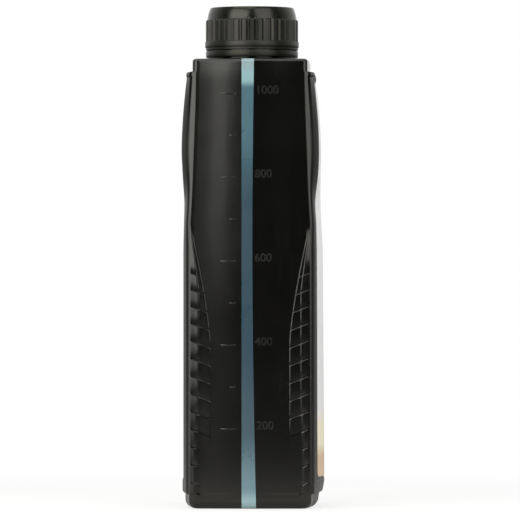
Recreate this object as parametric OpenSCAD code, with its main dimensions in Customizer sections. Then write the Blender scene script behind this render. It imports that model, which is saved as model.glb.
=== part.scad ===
// One litre motor oil bottle: a blow moulded body with a translucent level strip, a screw cap
// with its sealing wad, a tamper band and a printed front label. Millimetres, +Z up.
// The narrow side with the strip faces -X and the printed label faces -Y.

/* [Body] */
// Height from the floor to the top of the shoulder's edge
body_h = 216; // [200:1:235]
// Width across the two narrow sides
body_w = 82; // [74:1:92]
// Depth across the vertical corners of the lower half
body_d = 61.2; // [58:0.2:66]
// How far each wide face bows out past its corners
face_crown = 3; // [2:0.1:4.5]
// How far each narrow side bows out past its corners
side_crown = 0.9; // [0.4:0.1:1.6]
// Thickness of the moulded wall
wall = 1.3; // [1:0.1:1.8]

/* [Waist and shoulder] */
// Depth across the vertical corners at the shoulder
top_d = 56.2; // [53:0.2:58]
// Height of the waist, where the upper panels begin
waist_z = 146; // [142:1:152]
// Height at which the upper panels stand out most
lobe_z = 172; // [166:1:180]
// Height of the upper panels' top edge
lip_z = 209.4; // [207:0.2:210]
// Depth across the panels at their top edge
lip_d = 61; // [59:0.2:63]
// How far the faces pull in at the waist
waist_dip = 0.5; // [0.2:0.1:1]
// Radius of the shoulder's edge
shoulder_r = 2.4; // [1.5:0.1:3]
// Rise of the shoulder from its edge to the neck
shoulder_rise = 0.6; // [0.3:0.1:0.8]

/* [Foot] */
// Height of the stepped-in foot
foot_h = 7.4; // [6:0.1:8]
// Depth of the step above the foot
foot_step = 1.4; // [0.8:0.1:2]
// Radius of the foot's lower edge
foot_r = 3; // [2:0.1:4]
// Width of the ring that the bottle stands on
stand_w = 5; // [4:0.5:8]
// Height of the raised middle of the base
push_up = 2.5; // [1.5:0.1:4]
// Width of the slope up to it
push_run = 10; // [8:0.5:14]

/* [Label panel] */
// Distance from each narrow side to the sunk panel on a wide face
panel_land = 8; // [7:0.1:11]
// Depth by which the panel is sunk
panel_sink = 0.4; // [0.2:0.1:0.6]
// Height of the panel's lower edge
panel_z = 13; // [12:0.5:16]
// Margin between the panel's edge and the label
label_margin = 1; // [0.6:0.1:3]
// Thickness of the label
label_t = 0.15; // [0.1:0.05:0.3]

/* [Grip pads] */
// Height at which the pads run out into the corners
pad_top = 137; // [132:1:140]
// Height at which the pads reach their full width
pad_full = 80; // [74:1:90]
// Distance between the two pads of one narrow side
pad_gap = 37.8; // [34:0.2:40]
// Distance between the pads' narrow lower ends
pad_foot_gap = 48.4; // [46:0.2:50]
// How far the pads stand out of the side
pad_out = 0.5; // [0.3:0.1:0.8]
// Height of the lowest notch
notch_z = 8.7; // [8.3:0.1:9.4]
// Distance from one notch to the next
notch_pitch = 8.5; // [7.5:0.1:10]
// Number of notches in each pad
notch_count = 13; // [9:1:13]
// Upward slant of the notches towards the corners, in degrees
notch_slant = 21; // [10:1:25]
// Height of a notch's ledge
notch_h = 0.45; // [0.3:0.05:0.7]

/* [Level strip] */
// Width of the strip at mid height
strip_w = 5.2; // [4:0.1:8]
// Distance of the strip's straight edge from the middle of the side
strip_edge = 4; // [3:0.1:6]
// How much the strip widens towards its ends
strip_flare = 1.25; // [0.4:0.05:2]
// Height of the 200 ml mark
mark_z = 38.3; // [34:0.1:42]
// Height between one 200 ml mark and the next
mark_pitch = 40.2; // [36:0.1:41]
// Length of the marks at every 200 ml
mark_long = 7.2; // [5:0.1:9]
// Length of the marks halfway between them
mark_short = 2.9; // [2:0.1:4]
// How far the marks stand out of the side
mark_out = 0.3; // [0.2:0.05:0.5]

/* [Neck] */
// Diameter of the neck between the thread's turns
neck_d = 38.6; // [36:0.1:39]
// Thickness of the neck's wall
neck_wall = 2.3; // [1.8:0.1:3.5]
// Height of the mouth above the shoulder's edge
neck_h = 23; // [21:0.5:26]
// Depth of the thread
thread_depth = 1.2; // [0.9:0.05:1.5]
// Rise of the thread in one turn
thread_pitch = 5; // [4.6:0.1:6]
// Turns of the neck's thread
thread_turns = 1.5; // [1.2:0.1:1.7]
// Axial play between the two threads
thread_play = 0.3; // [0.2:0.05:0.5]
// How far the bead that holds the tamper band down stands out of the neck
bead_out = 1.3; // [1:0.05:1.5]

/* [Cap] */
// Play between the neck's thread and the cap's bore
bore_play = 0.4; // [0.3:0.05:0.6]
// Thickness of the cap's plain lower band
skirt_t = 1.9; // [1.7:0.1:2.6]
// How far the ribs stand back from the lower band
rib_in = 0.35; // [0.2:0.05:0.5]
// Depth of the grooves between the ribs
rib_depth = 0.75; // [0.4:0.05:0.9]
// Number of ribs round the cap
rib_count = 36; // [24:1:48]
// How far the cap's top edge slopes in from the root of the ribs
cap_slope_in = 1.9; // [1.4:0.1:2.4]
// Height of the slope from the ribs to the flat top
cap_bevel_h = 6.2; // [4:0.1:7]
// Height of the plain lower band
cap_band_h = 4.1; // [3:0.1:5]
// Thickness of the cap's top
cap_roof = 1.8; // [1.2:0.1:2.4]
// Thickness of the sealing wad
wad_t = 1.2; // [0.8:0.1:2]

/* [Tamper band] */
// How far the tamper band stands back from the cap
band_in = 0.4; // [0.2:0.05:0.8]
// Height of the tamper band
band_h = 3.2; // [2.8:0.1:3.6]
// Height of the band above the shoulder's edge
band_lift = 1.4; // [1.2:0.1:1.8]
// Gap between the band and the cap
band_gap = 0.7; // [0.6:0.1:1]
// Number of bridges that tied the band to the cap
bridge_count = 12; // [6:1:18]

/* [Hidden] */
$fn = 96;

// Colours
black = "#1d1e1d";
teal = "#6f9cae";
silver = "#dfe0e2";
foam = "#e9e6dc";

// Half sizes of the lower half and of the shoulder
low_y = body_d / 2;
wide_y = low_y + face_crown;
top_y = top_d / 2;
lip_y = lip_d / 2;
shoulder_y = top_y + 0.4;
panel_x = body_w / 2 - panel_land;
panel_top = lip_z - 3;
edge_run = 0.5;
edge_land = 0.3;
rim_out = 0.35;

// How the corners and faces change from the lower half (first value) to the upper panels (second)
corner_bend = [2.2, panel_land - 2];
face_power = [2.2, 7];
corner_fall = 1.7;
lip_fall = 1.8;
pad_curve = 1.35;
pad_step_z = [36, 50];

// Running clearances
fit = 0.3;
skin_gap = 0.05;

// Heights along the neck and the cap
mouth_z = body_h + neck_h;
band_z = body_h + band_lift;
cap_z = band_z + band_h + band_gap;
cap_top = mouth_z + wad_t + cap_roof;
neck_r = neck_d / 2;
mouth_r = neck_r - neck_wall;
bead_r = neck_r + bead_out;
thread_r = neck_r + thread_depth;
bore_r = thread_r + bore_play;
cap_r = bore_r + skirt_t;
rib_r = cap_r - rib_in;
band_r = cap_r - band_in;
wad_r = neck_r + fit;
collar_r = neck_r + 1.6;
hole_r = (mouth_r + neck_r) / 2;
bead_z = band_z + 1.2;
bead_h = 1.8;

// Both threads: width at the root, height at which the neck's one starts, turns of the cap's one
thread_w = 2.1;
thread_z = cap_z + 4.5;
cap_turns = 1.2;

// Soft step from 0 to 1
function ease(t) = let (c = min(max(t, 0), 1)) c * c * (3 - 2 * c);
function mix(a, b, t) = a + (b - a) * t;
function field(row, i) = len(row) > i ? row[i] : 0;

// The body's outline at a height: corner, middle of the wide face, its fullness and corner bend
function upper(z) = ease((z - waist_z) / (lobe_z - waist_z));
function taper(z) = 1 - min(max((z - pad_top) / (body_h - pad_top), 0), 1);
function corner_y(z) = mix(top_y, low_y, pow(taper(z), corner_fall));
function waist(z) = ease(1 - abs(z - waist_z - 2) / (lobe_z - waist_z));
function fall(z) = pow(min(max((z - lobe_z) / (lip_z - lobe_z), 0), 1), lip_fall);
function panel_y(z) = mix(wide_y - waist_dip * waist(z), lip_y, fall(z));
function power(z) = mix(face_power[0], face_power[1], upper(z));
function bend(z) = mix(corner_bend[0], corner_bend[1], upper(z));

// Half the distance between the pads: an S-shaped run-out above, a step to narrow ends below
function pad_edge(z) =
    z > pad_full
        ? mix(pad_gap / 2, low_y - 2, pow(min((z - pad_full) / (pad_top - pad_full), 1), pad_curve))
        : mix(pad_foot_gap / 2, pad_gap / 2, ease((z - pad_step_z[0]) / (pad_step_z[1] - pad_step_z[0])));

// Depth of the wide face at a distance x from its middle
function wide_at(x, corner, middle, half, full) = mix(corner, middle, 1 - pow(min(x / half, 1), full));

function bezier(a, b, c, d, t) =
    pow(1 - t, 3) * a + 3 * t * pow(1 - t, 2) * b + 3 * t * t * (1 - t) * c + pow(t, 3) * d;

// One quarter of a ring, from the middle of the narrow side to the middle of the wide face.
// A row holds: height, inset, shoulder, pad, notch, sink, slant, rim
function quarter(row) =
    let (
        z = row[0],
        inset = row[1],
        half = body_w / 2 - inset,
        corner = corner_y(z) - inset,
        middle = mix(panel_y(z), shoulder_y, field(row, 2)) - inset,
        half_c = half - side_crown,
        full = mix(power(z), face_power[0], field(row, 2)),
        r = bend(z),
        y1 = corner - r,
        x1 = half_c - r,
        a = [half - side_crown * pow(y1 / corner, 2), y1],
        b = [x1, wide_at(x1, corner, middle, half_c, full)],
        slope_a = -2 * side_crown * y1 / pow(corner, 2),
        slope_b = -(middle - corner) * full / half_c * pow(x1 / half_c, full - 1),
        a2 = a + 0.6 * r * [slope_a, 1],
        b2 = b + 0.6 * r * [1, slope_b],
        s = min(pad_edge(z) * corner / low_y, y1 - 1.2),
        ys = [0, s / 2, s, s + edge_run, (s + edge_run + y1) / 2, y1],
        pad = field(row, 3) * pad_out,
        notch = field(row, 4),
        pads = [0, 0, 0, pad * (1 - 0.9 * notch), pad * (1 - 0.8 * notch), pad * 0.5 * (1 - 0.3 * notch)],
        lean = field(row, 6) * tan(notch_slant),
        top_lean = lean * (y1 - s),
        rim = field(row, 7) * rim_out,
        sink = field(row, 5) * panel_sink,
        px = min(panel_x, x1 - edge_run - edge_land)
    )
    concat(
        [for (j = [0:5]) [
            half - side_crown * pow(ys[j] / corner, 2) + pads[j],
            ys[j],
            z + lean * max(ys[j] - s, 0)
        ]],
        [for (t = [1 / 3, 2 / 3]) let (p = bezier(a, a2, b2, b, t)) [p[0], p[1] + rim * t, z + top_lean]],
        [[b[0], b[1] + rim, z + top_lean]],
        [[px + edge_run, wide_at(px + edge_run, corner, middle, half_c, full) + rim, z]],
        [for (k = [4:-1:0]) let (x = px * k / 4)
            [x, wide_at(x, corner, middle, half_c, full) + rim - sink, z]]
    );
last = 14;

// A whole ring from its quarter, every step-th point, counterclockwise from +X
function ring(row, step) =
    let (q = quarter(row))
    concat(
        [for (j = [0:step:last - 1]) [q[j][0], q[j][1], q[j][2]]],
        [for (j = [last:-step:1]) [-q[j][0], q[j][1], q[j][2]]],
        [for (j = [0:step:last - 1]) [-q[j][0], -q[j][1], q[j][2]]],
        [for (j = [last:-step:1]) [q[j][0], -q[j][1], q[j][2]]]
    );

// A ring part of the way from the shoulder's edge to a round collar
function collar_ring(row, step, r, z, t) =
    [for (p = ring(row, step)) let (d = norm([p[0], p[1]]))
        [mix(p[0], p[0] / d * r, t), mix(p[1], p[1] / d * r, t), z]];

function notch_at(i) = notch_z + i * notch_pitch;
function notch_rows(i, sink) = [
    [notch_at(i), 0, 0, 1, 0, sink, 1],
    [notch_at(i) + notch_h, 0, 0, 1, 1, sink, 1]
];
last_notch = notch_at(notch_count - 1);

// Heights of the rings above the notches, shared by the body and the label on its panel
run_out_z = [for (t = [0.3, 0.6, 1]) mix(last_notch, pad_top, t)];
waist_rings = concat(
    [for (t = [0.3:0.35:1]) mix(pad_top, waist_z, t)],
    [for (t = [0.2:0.2:1]) mix(waist_z, lobe_z, t)],
    [for (t = [0.25:0.25:1]) mix(lobe_z, panel_top, t)]
);
function edge_row(top, r, a, inset) = [top - r + r * sin(a), inset + r * (1 - cos(a)), 1];

foot_in = foot_step + foot_r;
rise_start = foot_in + stand_w;
rise_end = rise_start + push_run;
outer_rows = concat(
    [
        [push_up, rise_end],
        [push_up * 0.8, mix(rise_start, rise_end, 0.3)],
        [0, rise_start],
        [0, foot_in],
        [foot_r * (1 - cos(45)), foot_step + foot_r * (1 - sin(45))],
        [foot_r, foot_step],
        [foot_h - 0.7, foot_step],
        [foot_h, 0.15],
        [foot_h + 0.5, 0, 0, 1]
    ],
    notch_rows(0, 0),
    [
        [panel_z, 0, 0, 1],
        [panel_z + edge_run, 0, 0, 1, 0, 1]
    ],
    [for (i = [1:notch_count - 1]) each notch_rows(i, 1)],
    [for (z = run_out_z) let (t = (z - last_notch) / (pad_top - last_notch))
        [z, 0, 0, 1 - ease(2 * t - 1), 0, 1, 1 - t]],
    [for (z = waist_rings) [z, 0, 0, 0, 0, 1]],
    [
        [panel_top + edge_run, 0],
        [lip_z - 1.2, 0, 0, 0, 0, 0, 0, 1],
        [lip_z, 0, 0, 0, 0, 0, 0, 0.6],
        [lip_z + 0.6, 0, 1]
    ],
    [for (a = [0:30:90]) edge_row(body_h, shoulder_r, a, 0)]
);

inner_lip = lip_z - wall;
inner_rows = concat(
    [
        [push_up + wall, rise_end - 1],
        [push_up * 0.8 + wall, mix(rise_start, rise_end, 0.24)],
        [wall + 0.1, rise_start - 0.6],
        [wall + 0.1, foot_in],
        [foot_r + 0.6, foot_step + wall],
        [foot_h + 1, foot_step + wall],
        [foot_h + 2.6, wall + panel_sink]
    ],
    [for (z = [pad_full, pad_top, waist_z + 2, mix(waist_z, lobe_z, 0.5), lobe_z]) [z, wall + panel_sink]],
    [for (t = [0.4, 0.75]) [mix(lobe_z, lip_z, t), wall + panel_sink]],
    [
        [inner_lip - 1.5, wall + panel_sink],
        [inner_lip, wall + 0.2, 1]
    ],
    [for (a = [0, 45, 90]) edge_row(body_h - wall, shoulder_r - wall / 2, a, wall)]
);

function ring_faces(n, k, from) =
    [for (i = [0:k - 2], j = [0:n - 1])
        let (a = from + i * n + j, b = from + i * n + (j + 1) % n)
        each [[a, a + n, b], [b, a + n, b + n]]];

// The body's wall as one closed skin: outside, inside and the annulus under the neck between them
module shell() {
    n = 4 * last;
    m = n / 2;
    top_row = outer_rows[len(outer_rows) - 1];
    inner_top = inner_rows[len(inner_rows) - 1];
    outer = concat(
        [for (row = outer_rows) ring(row, 1)],
        [for (t = [0.5, 1]) collar_ring(top_row, 1, collar_r, body_h + shoulder_rise * t, t)],
        [collar_ring(top_row, 1, hole_r, body_h + shoulder_rise, 1)]
    );
    inner = concat(
        [for (row = inner_rows) ring(row, 2)],
        [collar_ring(inner_top, 2, hole_r, body_h - wall, 1)]
    );
    k = len(outer);
    q = len(inner);
    start = n * k;
    points = [for (r = concat(outer, inner)) each r];
    rim = n * (k - 1);
    hole = start + m * (q - 1);
    faces = concat(
        ring_faces(n, k, 0),
        [for (f = ring_faces(m, q, start)) [f[0], f[2], f[1]]],
        [[for (j = [0:n - 1]) j]],
        [[for (j = [m - 1:-1:0]) start + j]],
        [for (j = [0:m - 1]) each [
            [rim + 2 * j, hole + j, rim + 2 * j + 1],
            [rim + 2 * j + 1, hole + j, hole + (j + 1) % m],
            [rim + 2 * j + 1, hole + (j + 1) % m, rim + (2 * j + 2) % n]
        ]]
    );
    polyhedron(points, faces);
}

// The strip's outline on the narrow side, as a plate that runs through the wall
module strip_plate() {
    near = collar_r + 3;
    steps = 8;
    straight = strip_edge;
    far = straight - strip_w;
    top = body_h + 2;
    rotate([90, 0, 90])
        translate([0, 0, -body_w / 2 - 2])
            linear_extrude(body_w / 2 + 2 - near)
                polygon(concat(
                    [[straight, -1], [straight, top]],
                    [for (i = [steps:-1:0])
                        let (t = i / steps)
                        [far - strip_flare * (1 - sin(180 * t)) - 0.4 * strip_flare * (1 - 2 * t),
                         mix(-1, top, t)]]
                ));
}

// A screw thread as one swept ridge whose ends sink into the wall that carries it
module ridge(root_r, crest_r, z0, turns, root_w, crest_w) {
    step = 12;
    n = floor(turns * 360 / step);
    sunk = sign(crest_r - root_r) * 0.4;
    points = [for (i = [0:n])
        let (
            a = i * step,
            z = z0 + thread_pitch * a / 360,
            t = ease(min(i, n - i) * step / 36),
            r = mix(root_r - sunk / 2, crest_r, t),
            w = mix(root_w, crest_w, t)
        )
        each [
            [(root_r - sunk) * cos(a), (root_r - sunk) * sin(a), z - root_w / 2],
            [r * cos(a), r * sin(a), z - w / 2],
            [r * cos(a), r * sin(a), z + w / 2],
            [(root_r - sunk) * cos(a), (root_r - sunk) * sin(a), z + root_w / 2]
        ]];
    sides = [for (i = [0:n - 1], j = [0:3])
        let (a = 4 * i + j, b = 4 * i + (j + 1) % 4)
        each [[a, b, a + 4], [b, b + 4, a + 4]]];
    ends = [[0, 3, 2], [0, 2, 1], [4 * n, 4 * n + 1, 4 * n + 2], [4 * n, 4 * n + 2, 4 * n + 3]];
    faces = concat(sides, ends);
    polyhedron(points, crest_r > root_r ? faces : [for (f = faces) [f[0], f[2], f[1]]]);
}

module neck() {
    foot = body_h - wall / 2;
    difference() {
        union() {
            translate([0, 0, foot]) cylinder(r = neck_r, h = mouth_z - foot);
            rotate_extrude() polygon([
                [neck_r - 1, bead_z],
                [neck_r, bead_z],
                [bead_r, bead_z + bead_h / 6],
                [bead_r, bead_z + bead_h / 2],
                [neck_r, bead_z + bead_h],
                [neck_r - 1, bead_z + bead_h]
            ]);
        }
        translate([0, 0, foot - 1]) cylinder(r = mouth_r, h = mouth_z - foot + 2);
    }
    ridge(neck_r, thread_r, thread_z, thread_turns, thread_w, thread_w / 2);
}

// Ticks beside the strip: a long one at every 200 ml up to a litre, a short one halfway
module level_marks() {
    side_x = body_w / 2 - side_crown / 4;
    line_w = 0.8;
    gap = 2.9;
    for (i = [0:8])
        translate([-side_x - mark_out, strip_edge + gap, mark_z + i * mark_pitch / 2 - line_w / 2])
            cube([1, i % 2 == 0 ? mark_long : mark_short, line_w]);
}

module bottle() {
    color(black) {
        difference() {
            shell();
            strip_plate();
        }
        neck();
        level_marks();
    }
}

module sight_strip() {
    color(teal) intersection() {
        shell();
        strip_plate();
    }
}

// A sheet that follows the sunk panel of the wide face on the -Y side
module front_label() {
    half = panel_x - label_margin;
    bottom = panel_z + 2;
    top = panel_top - 2;
    xs = concat([-half], [for (k = [-3:3]) panel_x * k / 4], [half]);
    zs = concat([bottom], run_out_z, [for (z = waist_rings) min(z, top)]);
    n = len(xs);
    k = len(zs);
    half_c = body_w / 2 - side_crown;
    skin = [for (lift = [skin_gap, skin_gap + label_t], z = zs, x = xs)
        [x, -wide_at(abs(x), corner_y(z), panel_y(z), half_c, power(z)) + panel_sink - lift, z]];
    back = n * k;
    faces = concat(
        [for (i = [0:k - 2], j = [0:n - 2]) let (a = i * n + j)
            each [[a, a + 1, a + n + 1], [a, a + n + 1, a + n]]],
        [for (i = [0:k - 2], j = [0:n - 2]) let (a = back + i * n + j)
            each [[a, a + n + 1, a + 1], [a, a + n, a + n + 1]]],
        [for (j = [0:n - 2]) each [
            [j, back + j + 1, j + 1],
            [j, back + j, back + j + 1],
            [n * (k - 1) + j, n * (k - 1) + j + 1, back + n * (k - 1) + j + 1],
            [n * (k - 1) + j, back + n * (k - 1) + j + 1, back + n * (k - 1) + j]
        ]],
        [for (i = [0:k - 2]) each [
            [i * n, back + (i + 1) * n, back + i * n],
            [i * n, (i + 1) * n, back + (i + 1) * n],
            [i * n + n - 1, back + i * n + n - 1, back + (i + 1) * n + n - 1],
            [i * n + n - 1, back + (i + 1) * n + n - 1, (i + 1) * n + n - 1]
        ]]
    );
    color(silver) polyhedron(skin, faces);
}

module rib_ring(z, h) {
    root_r = rib_r - rib_depth;
    pitch = 360 / rib_count;
    translate([0, 0, z]) linear_extrude(h) polygon([for (i = [0:rib_count - 1])
        each [for (p = [[-0.36, root_r], [-0.26, rib_r], [0.26, rib_r], [0.36, root_r]])
            [p[1] * cos((i + p[0]) * pitch), p[1] * sin((i + p[0]) * pitch)]]]);
}

module cap() {
    core_r = rib_r - rib_depth;
    rib_z = cap_z + cap_band_h;
    rib_top = cap_top - cap_bevel_h;
    top_r = core_r - cap_slope_in;
    roof_z = mouth_z + wad_t;
    ledge_z = cap_z + 1.1;
    ledge = 0.4;
    edge = 0.3;
    seat_r = wad_r + 0.1;
    color(black) {
        difference() {
            union() {
                rotate_extrude() polygon([
                    [0, cap_z],
                    [cap_r - ledge, cap_z],
                    [cap_r - ledge, ledge_z],
                    [cap_r, ledge_z + edge],
                    [cap_r, rib_z - edge],
                    [cap_r - edge, rib_z],
                    [core_r, rib_z],
                    [core_r, rib_top],
                    [top_r + 2 * edge, cap_top - 2 * edge],
                    [top_r, cap_top],
                    [0, cap_top]
                ]);
                rib_ring(rib_z - 0.2, rib_top - rib_z + 0.2);
            }
            rotate_extrude() polygon([
                [0, cap_z - 1],
                [bore_r + edge, cap_z - 1],
                [bore_r + edge, cap_z],
                [bore_r, cap_z + 2 * edge],
                [bore_r, rib_top - 3],
                [seat_r, rib_top],
                [seat_r, roof_z],
                [0, roof_z]
            ]);
        }
        start = thread_z - thread_w * 0.75 - thread_play;
        ridge(bore_r, neck_r + fit, start, cap_turns, thread_w, thread_w / 2);
    }
}

module cap_liner() {
    color(foam) translate([0, 0, mouth_z]) cylinder(r = wad_r, h = wad_t);
}

module tamper_band() {
    inner_r = bead_r + fit;
    top = band_z + band_h;
    edge = 0.2;
    bridge_w = 1;
    color(black) {
        rotate_extrude() polygon([
            [neck_r + fit, band_z],
            [band_r - edge, band_z],
            [band_r, band_z + edge],
            [band_r, top - edge],
            [band_r - edge, top],
            [inner_r, top],
            [inner_r, bead_z],
            [neck_r + fit, bead_z - fit]
        ]);
        for (i = [0:bridge_count - 1])
            rotate([0, 0, i * 360 / bridge_count])
                translate([inner_r + 0.1, -bridge_w / 2, top - edge])
                    cube([band_r - inner_r - 0.5, bridge_w, band_gap - 0.1]);
    }
}

bottle();
sight_strip();
front_label();
cap();
cap_liner();
tamper_band();
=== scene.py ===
"""Looks of the one litre motor oil bottle: black blow moulded body, translucent level strip,
screw cap over a tamper band, and the printed film on the front panel.

Sizes are in millimetres until a mesh is made; Blender's own unit here is the metre.
"""

import logging
import math
from contextlib import contextmanager
from dataclasses import dataclass, field, replace
from enum import Enum
from functools import cached_property
from typing import Callable, Iterable, Iterator, Sequence

import bpy
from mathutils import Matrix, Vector


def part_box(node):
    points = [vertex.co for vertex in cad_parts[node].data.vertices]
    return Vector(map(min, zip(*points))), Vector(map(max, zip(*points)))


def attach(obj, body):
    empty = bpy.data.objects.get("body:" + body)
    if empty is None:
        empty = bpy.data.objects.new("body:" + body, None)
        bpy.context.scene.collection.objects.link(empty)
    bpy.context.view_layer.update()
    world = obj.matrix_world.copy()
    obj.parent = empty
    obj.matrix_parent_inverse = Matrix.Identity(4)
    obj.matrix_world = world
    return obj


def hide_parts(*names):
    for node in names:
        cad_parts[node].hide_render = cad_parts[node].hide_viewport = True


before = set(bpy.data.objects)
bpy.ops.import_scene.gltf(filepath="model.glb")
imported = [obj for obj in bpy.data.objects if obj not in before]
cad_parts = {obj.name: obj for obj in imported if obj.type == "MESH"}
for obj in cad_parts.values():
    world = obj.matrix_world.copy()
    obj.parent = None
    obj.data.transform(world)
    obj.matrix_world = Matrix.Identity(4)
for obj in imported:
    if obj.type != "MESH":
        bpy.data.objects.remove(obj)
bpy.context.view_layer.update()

log = logging.getLogger("oil_bottle")
MM = 0.001
QUARTERS = (0, 0.25, 0.5, 0.75, 1)
FIFTHS = (0, 0.2, 0.4, 0.6, 0.8, 1)

Point = tuple[float, float, float]
Colour = tuple[float, float, float]
Step = tuple[float, float]
Piece = bpy.types.Object
Node = bpy.types.Node
Socket = bpy.types.NodeSocket
Tree = bpy.types.NodeTree


class Body(Enum):
    """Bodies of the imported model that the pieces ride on."""

    BOTTLE = "bottle"
    LINER = "liner"
    CAP = "cap"


class Slot(Enum):
    """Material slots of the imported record."""

    BODY = "bottle_black"
    STRIP = "strip_natural"
    LABEL = "label_film"
    CAP = "cap_black"
    LINER = "liner_foam"
    BAND = "band_black"


# Small helpers


def clip(t: float) -> float:
    """The value held between 0 and 1."""
    return min(max(t, 0.0), 1.0)


def ease(t: float) -> float:
    """Soft step from 0 to 1."""
    c = clip(t)
    return c * c * (3 - 2 * c)


def mix(a: float, b: float, t: float) -> float:
    """The value t of the way from a to b."""
    return a + (b - a) * t


def spread(a: float, b: float, count: int) -> list[float]:
    """Evenly spaced values from a to just before b."""
    return [mix(a, b, i / count) for i in range(count)]


def box_mm(node: str) -> tuple[Vector, Vector]:
    """Lowest and highest corner of a CAD node, in millimetres."""
    low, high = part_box(node)
    return low / MM, high / MM


def deselect() -> None:
    """Leaves edit mode and clears the selection."""
    if bpy.context.object and bpy.context.object.mode != "OBJECT":
        bpy.ops.object.mode_set(mode="OBJECT")
    bpy.ops.object.select_all(action="DESELECT")


def activate(obj: Piece) -> None:
    """Makes one object the only selected one.

    Args:
        obj: the object.
    """
    deselect()
    obj.select_set(True)
    bpy.context.view_layer.objects.active = obj


@contextmanager
def editing(obj: Piece) -> Iterator[None]:
    """Opens edit mode on a piece, all of it selected, and leaves it at the end.

    Args:
        obj: the piece.

    Yields:
        Nothing; the steps inside the block work on the selection.
    """
    activate(obj)
    bpy.ops.object.mode_set(mode="EDIT")
    bpy.ops.mesh.select_all(action="SELECT")
    yield
    bpy.ops.object.mode_set(mode="OBJECT")


def new_piece(name: str) -> Piece:
    """Names the primitive that was just added.

    Args:
        name: the piece's name.

    Returns:
        The new object.
    """
    obj = bpy.context.object
    obj.name = name
    obj.data.name = name
    return obj


def settle(obj: Piece) -> None:
    """Puts the object's place, turn and scale into its mesh."""
    activate(obj)
    bpy.ops.object.transform_apply(location=True, rotation=True, scale=True)


def apply_modifier(obj: Piece, kind: str, **settings: object) -> None:
    """Adds a modifier to a piece and applies it.

    Args:
        obj: the piece.
        kind: the modifier's type.
        settings: the modifier's properties by name.
    """
    activate(obj)
    mod = obj.modifiers.new(kind.lower(), kind)
    for key, value in settings.items():
        setattr(mod, key, value)
    bpy.ops.object.modifier_apply(modifier=mod.name)


def smooth(obj: Piece, degrees: float, weighted: bool = False) -> None:
    """Shades smooth, with edges sharper than the angle kept.

    Args:
        obj: the piece.
        degrees: edges sharper than this stay sharp.
        weighted: True where broad faces keep their own shade beside narrow ledges.
    """
    activate(obj)
    bpy.ops.object.shade_smooth_by_angle(angle=math.radians(degrees))
    if weighted:
        apply_modifier(obj, "WEIGHTED_NORMAL", mode="FACE_AREA", keep_sharp=True)


def bevelled(obj: Piece, width: float, segments: int, degrees: float = 30.0) -> None:
    """Rounds the piece's edges.

    Args:
        obj: the piece.
        width: width of the bevel in millimetres.
        segments: steps across it.
        degrees: only edges sharper than this are rounded.
    """
    apply_modifier(obj, "BEVEL", width=width * MM, segments=segments, limit_method="ANGLE",
                   angle_limit=math.radians(degrees))


def face_outwards(obj: Piece) -> None:
    """Welds doubled points and turns every face outwards.

    Args:
        obj: the closed piece.
    """
    with editing(obj):
        bpy.ops.mesh.remove_doubles(threshold=0.002 * MM)
        bpy.ops.mesh.normals_make_consistent(inside=False)


def cap_open_ends(obj: Piece) -> None:
    """Closes every open rim of a mesh with a face.

    Args:
        obj: the open piece.
    """
    with editing(obj):
        bpy.ops.mesh.select_mode(type="EDGE")
        bpy.ops.mesh.select_all(action="DESELECT")
        bpy.ops.mesh.select_non_manifold(extend=False, use_wire=False, use_multi_face=False,
                                         use_verts=False)
        bpy.ops.mesh.fill_holes(sides=0)


def joined(name: str, parts: Sequence[Piece]) -> Piece:
    """Joins several meshes into one named piece.

    Args:
        name: the piece's name.
        parts: the meshes; the first one is kept.

    Returns:
        The joined object.
    """
    activate(parts[0])
    for part in parts[1:]:
        part.select_set(True)
    bpy.ops.object.join()
    return new_piece(name)


def block(name: str, centre: Point, size: Point, edge: float, segments: int) -> Piece:
    """A small block with rounded edges, in millimetres.

    Args:
        name: the piece's name.
        centre: its middle.
        size: its sides.
        edge: width of its edges' bevel.
        segments: steps across the bevel.

    Returns:
        The new object.
    """
    deselect()
    bpy.ops.mesh.primitive_cube_add(size=1, location=[c * MM for c in centre])
    obj = new_piece(name)
    obj.scale = [s * MM for s in size]
    settle(obj)
    bevelled(obj, edge, segments)
    return obj


def select_faces(obj: Piece, test: Callable[[Vector, Vector], bool]) -> None:
    """Selects faces by their place and normal, for the next edit-mode step.

    Args:
        obj: the mesh object, in object mode.
        test: takes a face's centre in millimetres and its normal.
    """
    mesh = obj.data
    for element in (*mesh.edges, *mesh.vertices):
        element.select = False
    for poly in mesh.polygons:
        poly.select = test(poly.center / MM, poly.normal)


def wrapped_sheet(name: str, rings: Sequence[Sequence[Point]], closed: bool = True) -> Piece:
    """A primitive grid, each row laid on one ring and welded where it meets itself.

    Args:
        name: the piece's name.
        rings: points of every ring in millimetres, all with the same number.
        closed: True if each ring runs all the way round.

    Returns:
        The new object.
    """
    across = len(rings[0]) + (1 if closed else 0)
    deselect()
    bpy.ops.mesh.primitive_grid_add(x_subdivisions=across - 1, y_subdivisions=len(rings) - 1,
                                    size=MM)
    obj = new_piece(name)
    places: list[float] = []
    for ring in rings:
        for x, y, z in list(ring) + ([ring[0]] if closed else []):
            places.extend((x * MM, y * MM, z * MM))
    obj.data.vertices.foreach_set("co", places)
    obj.data.update()
    if closed:
        with editing(obj):
            bpy.ops.mesh.remove_doubles(threshold=0.0005 * MM)
    return obj


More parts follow.
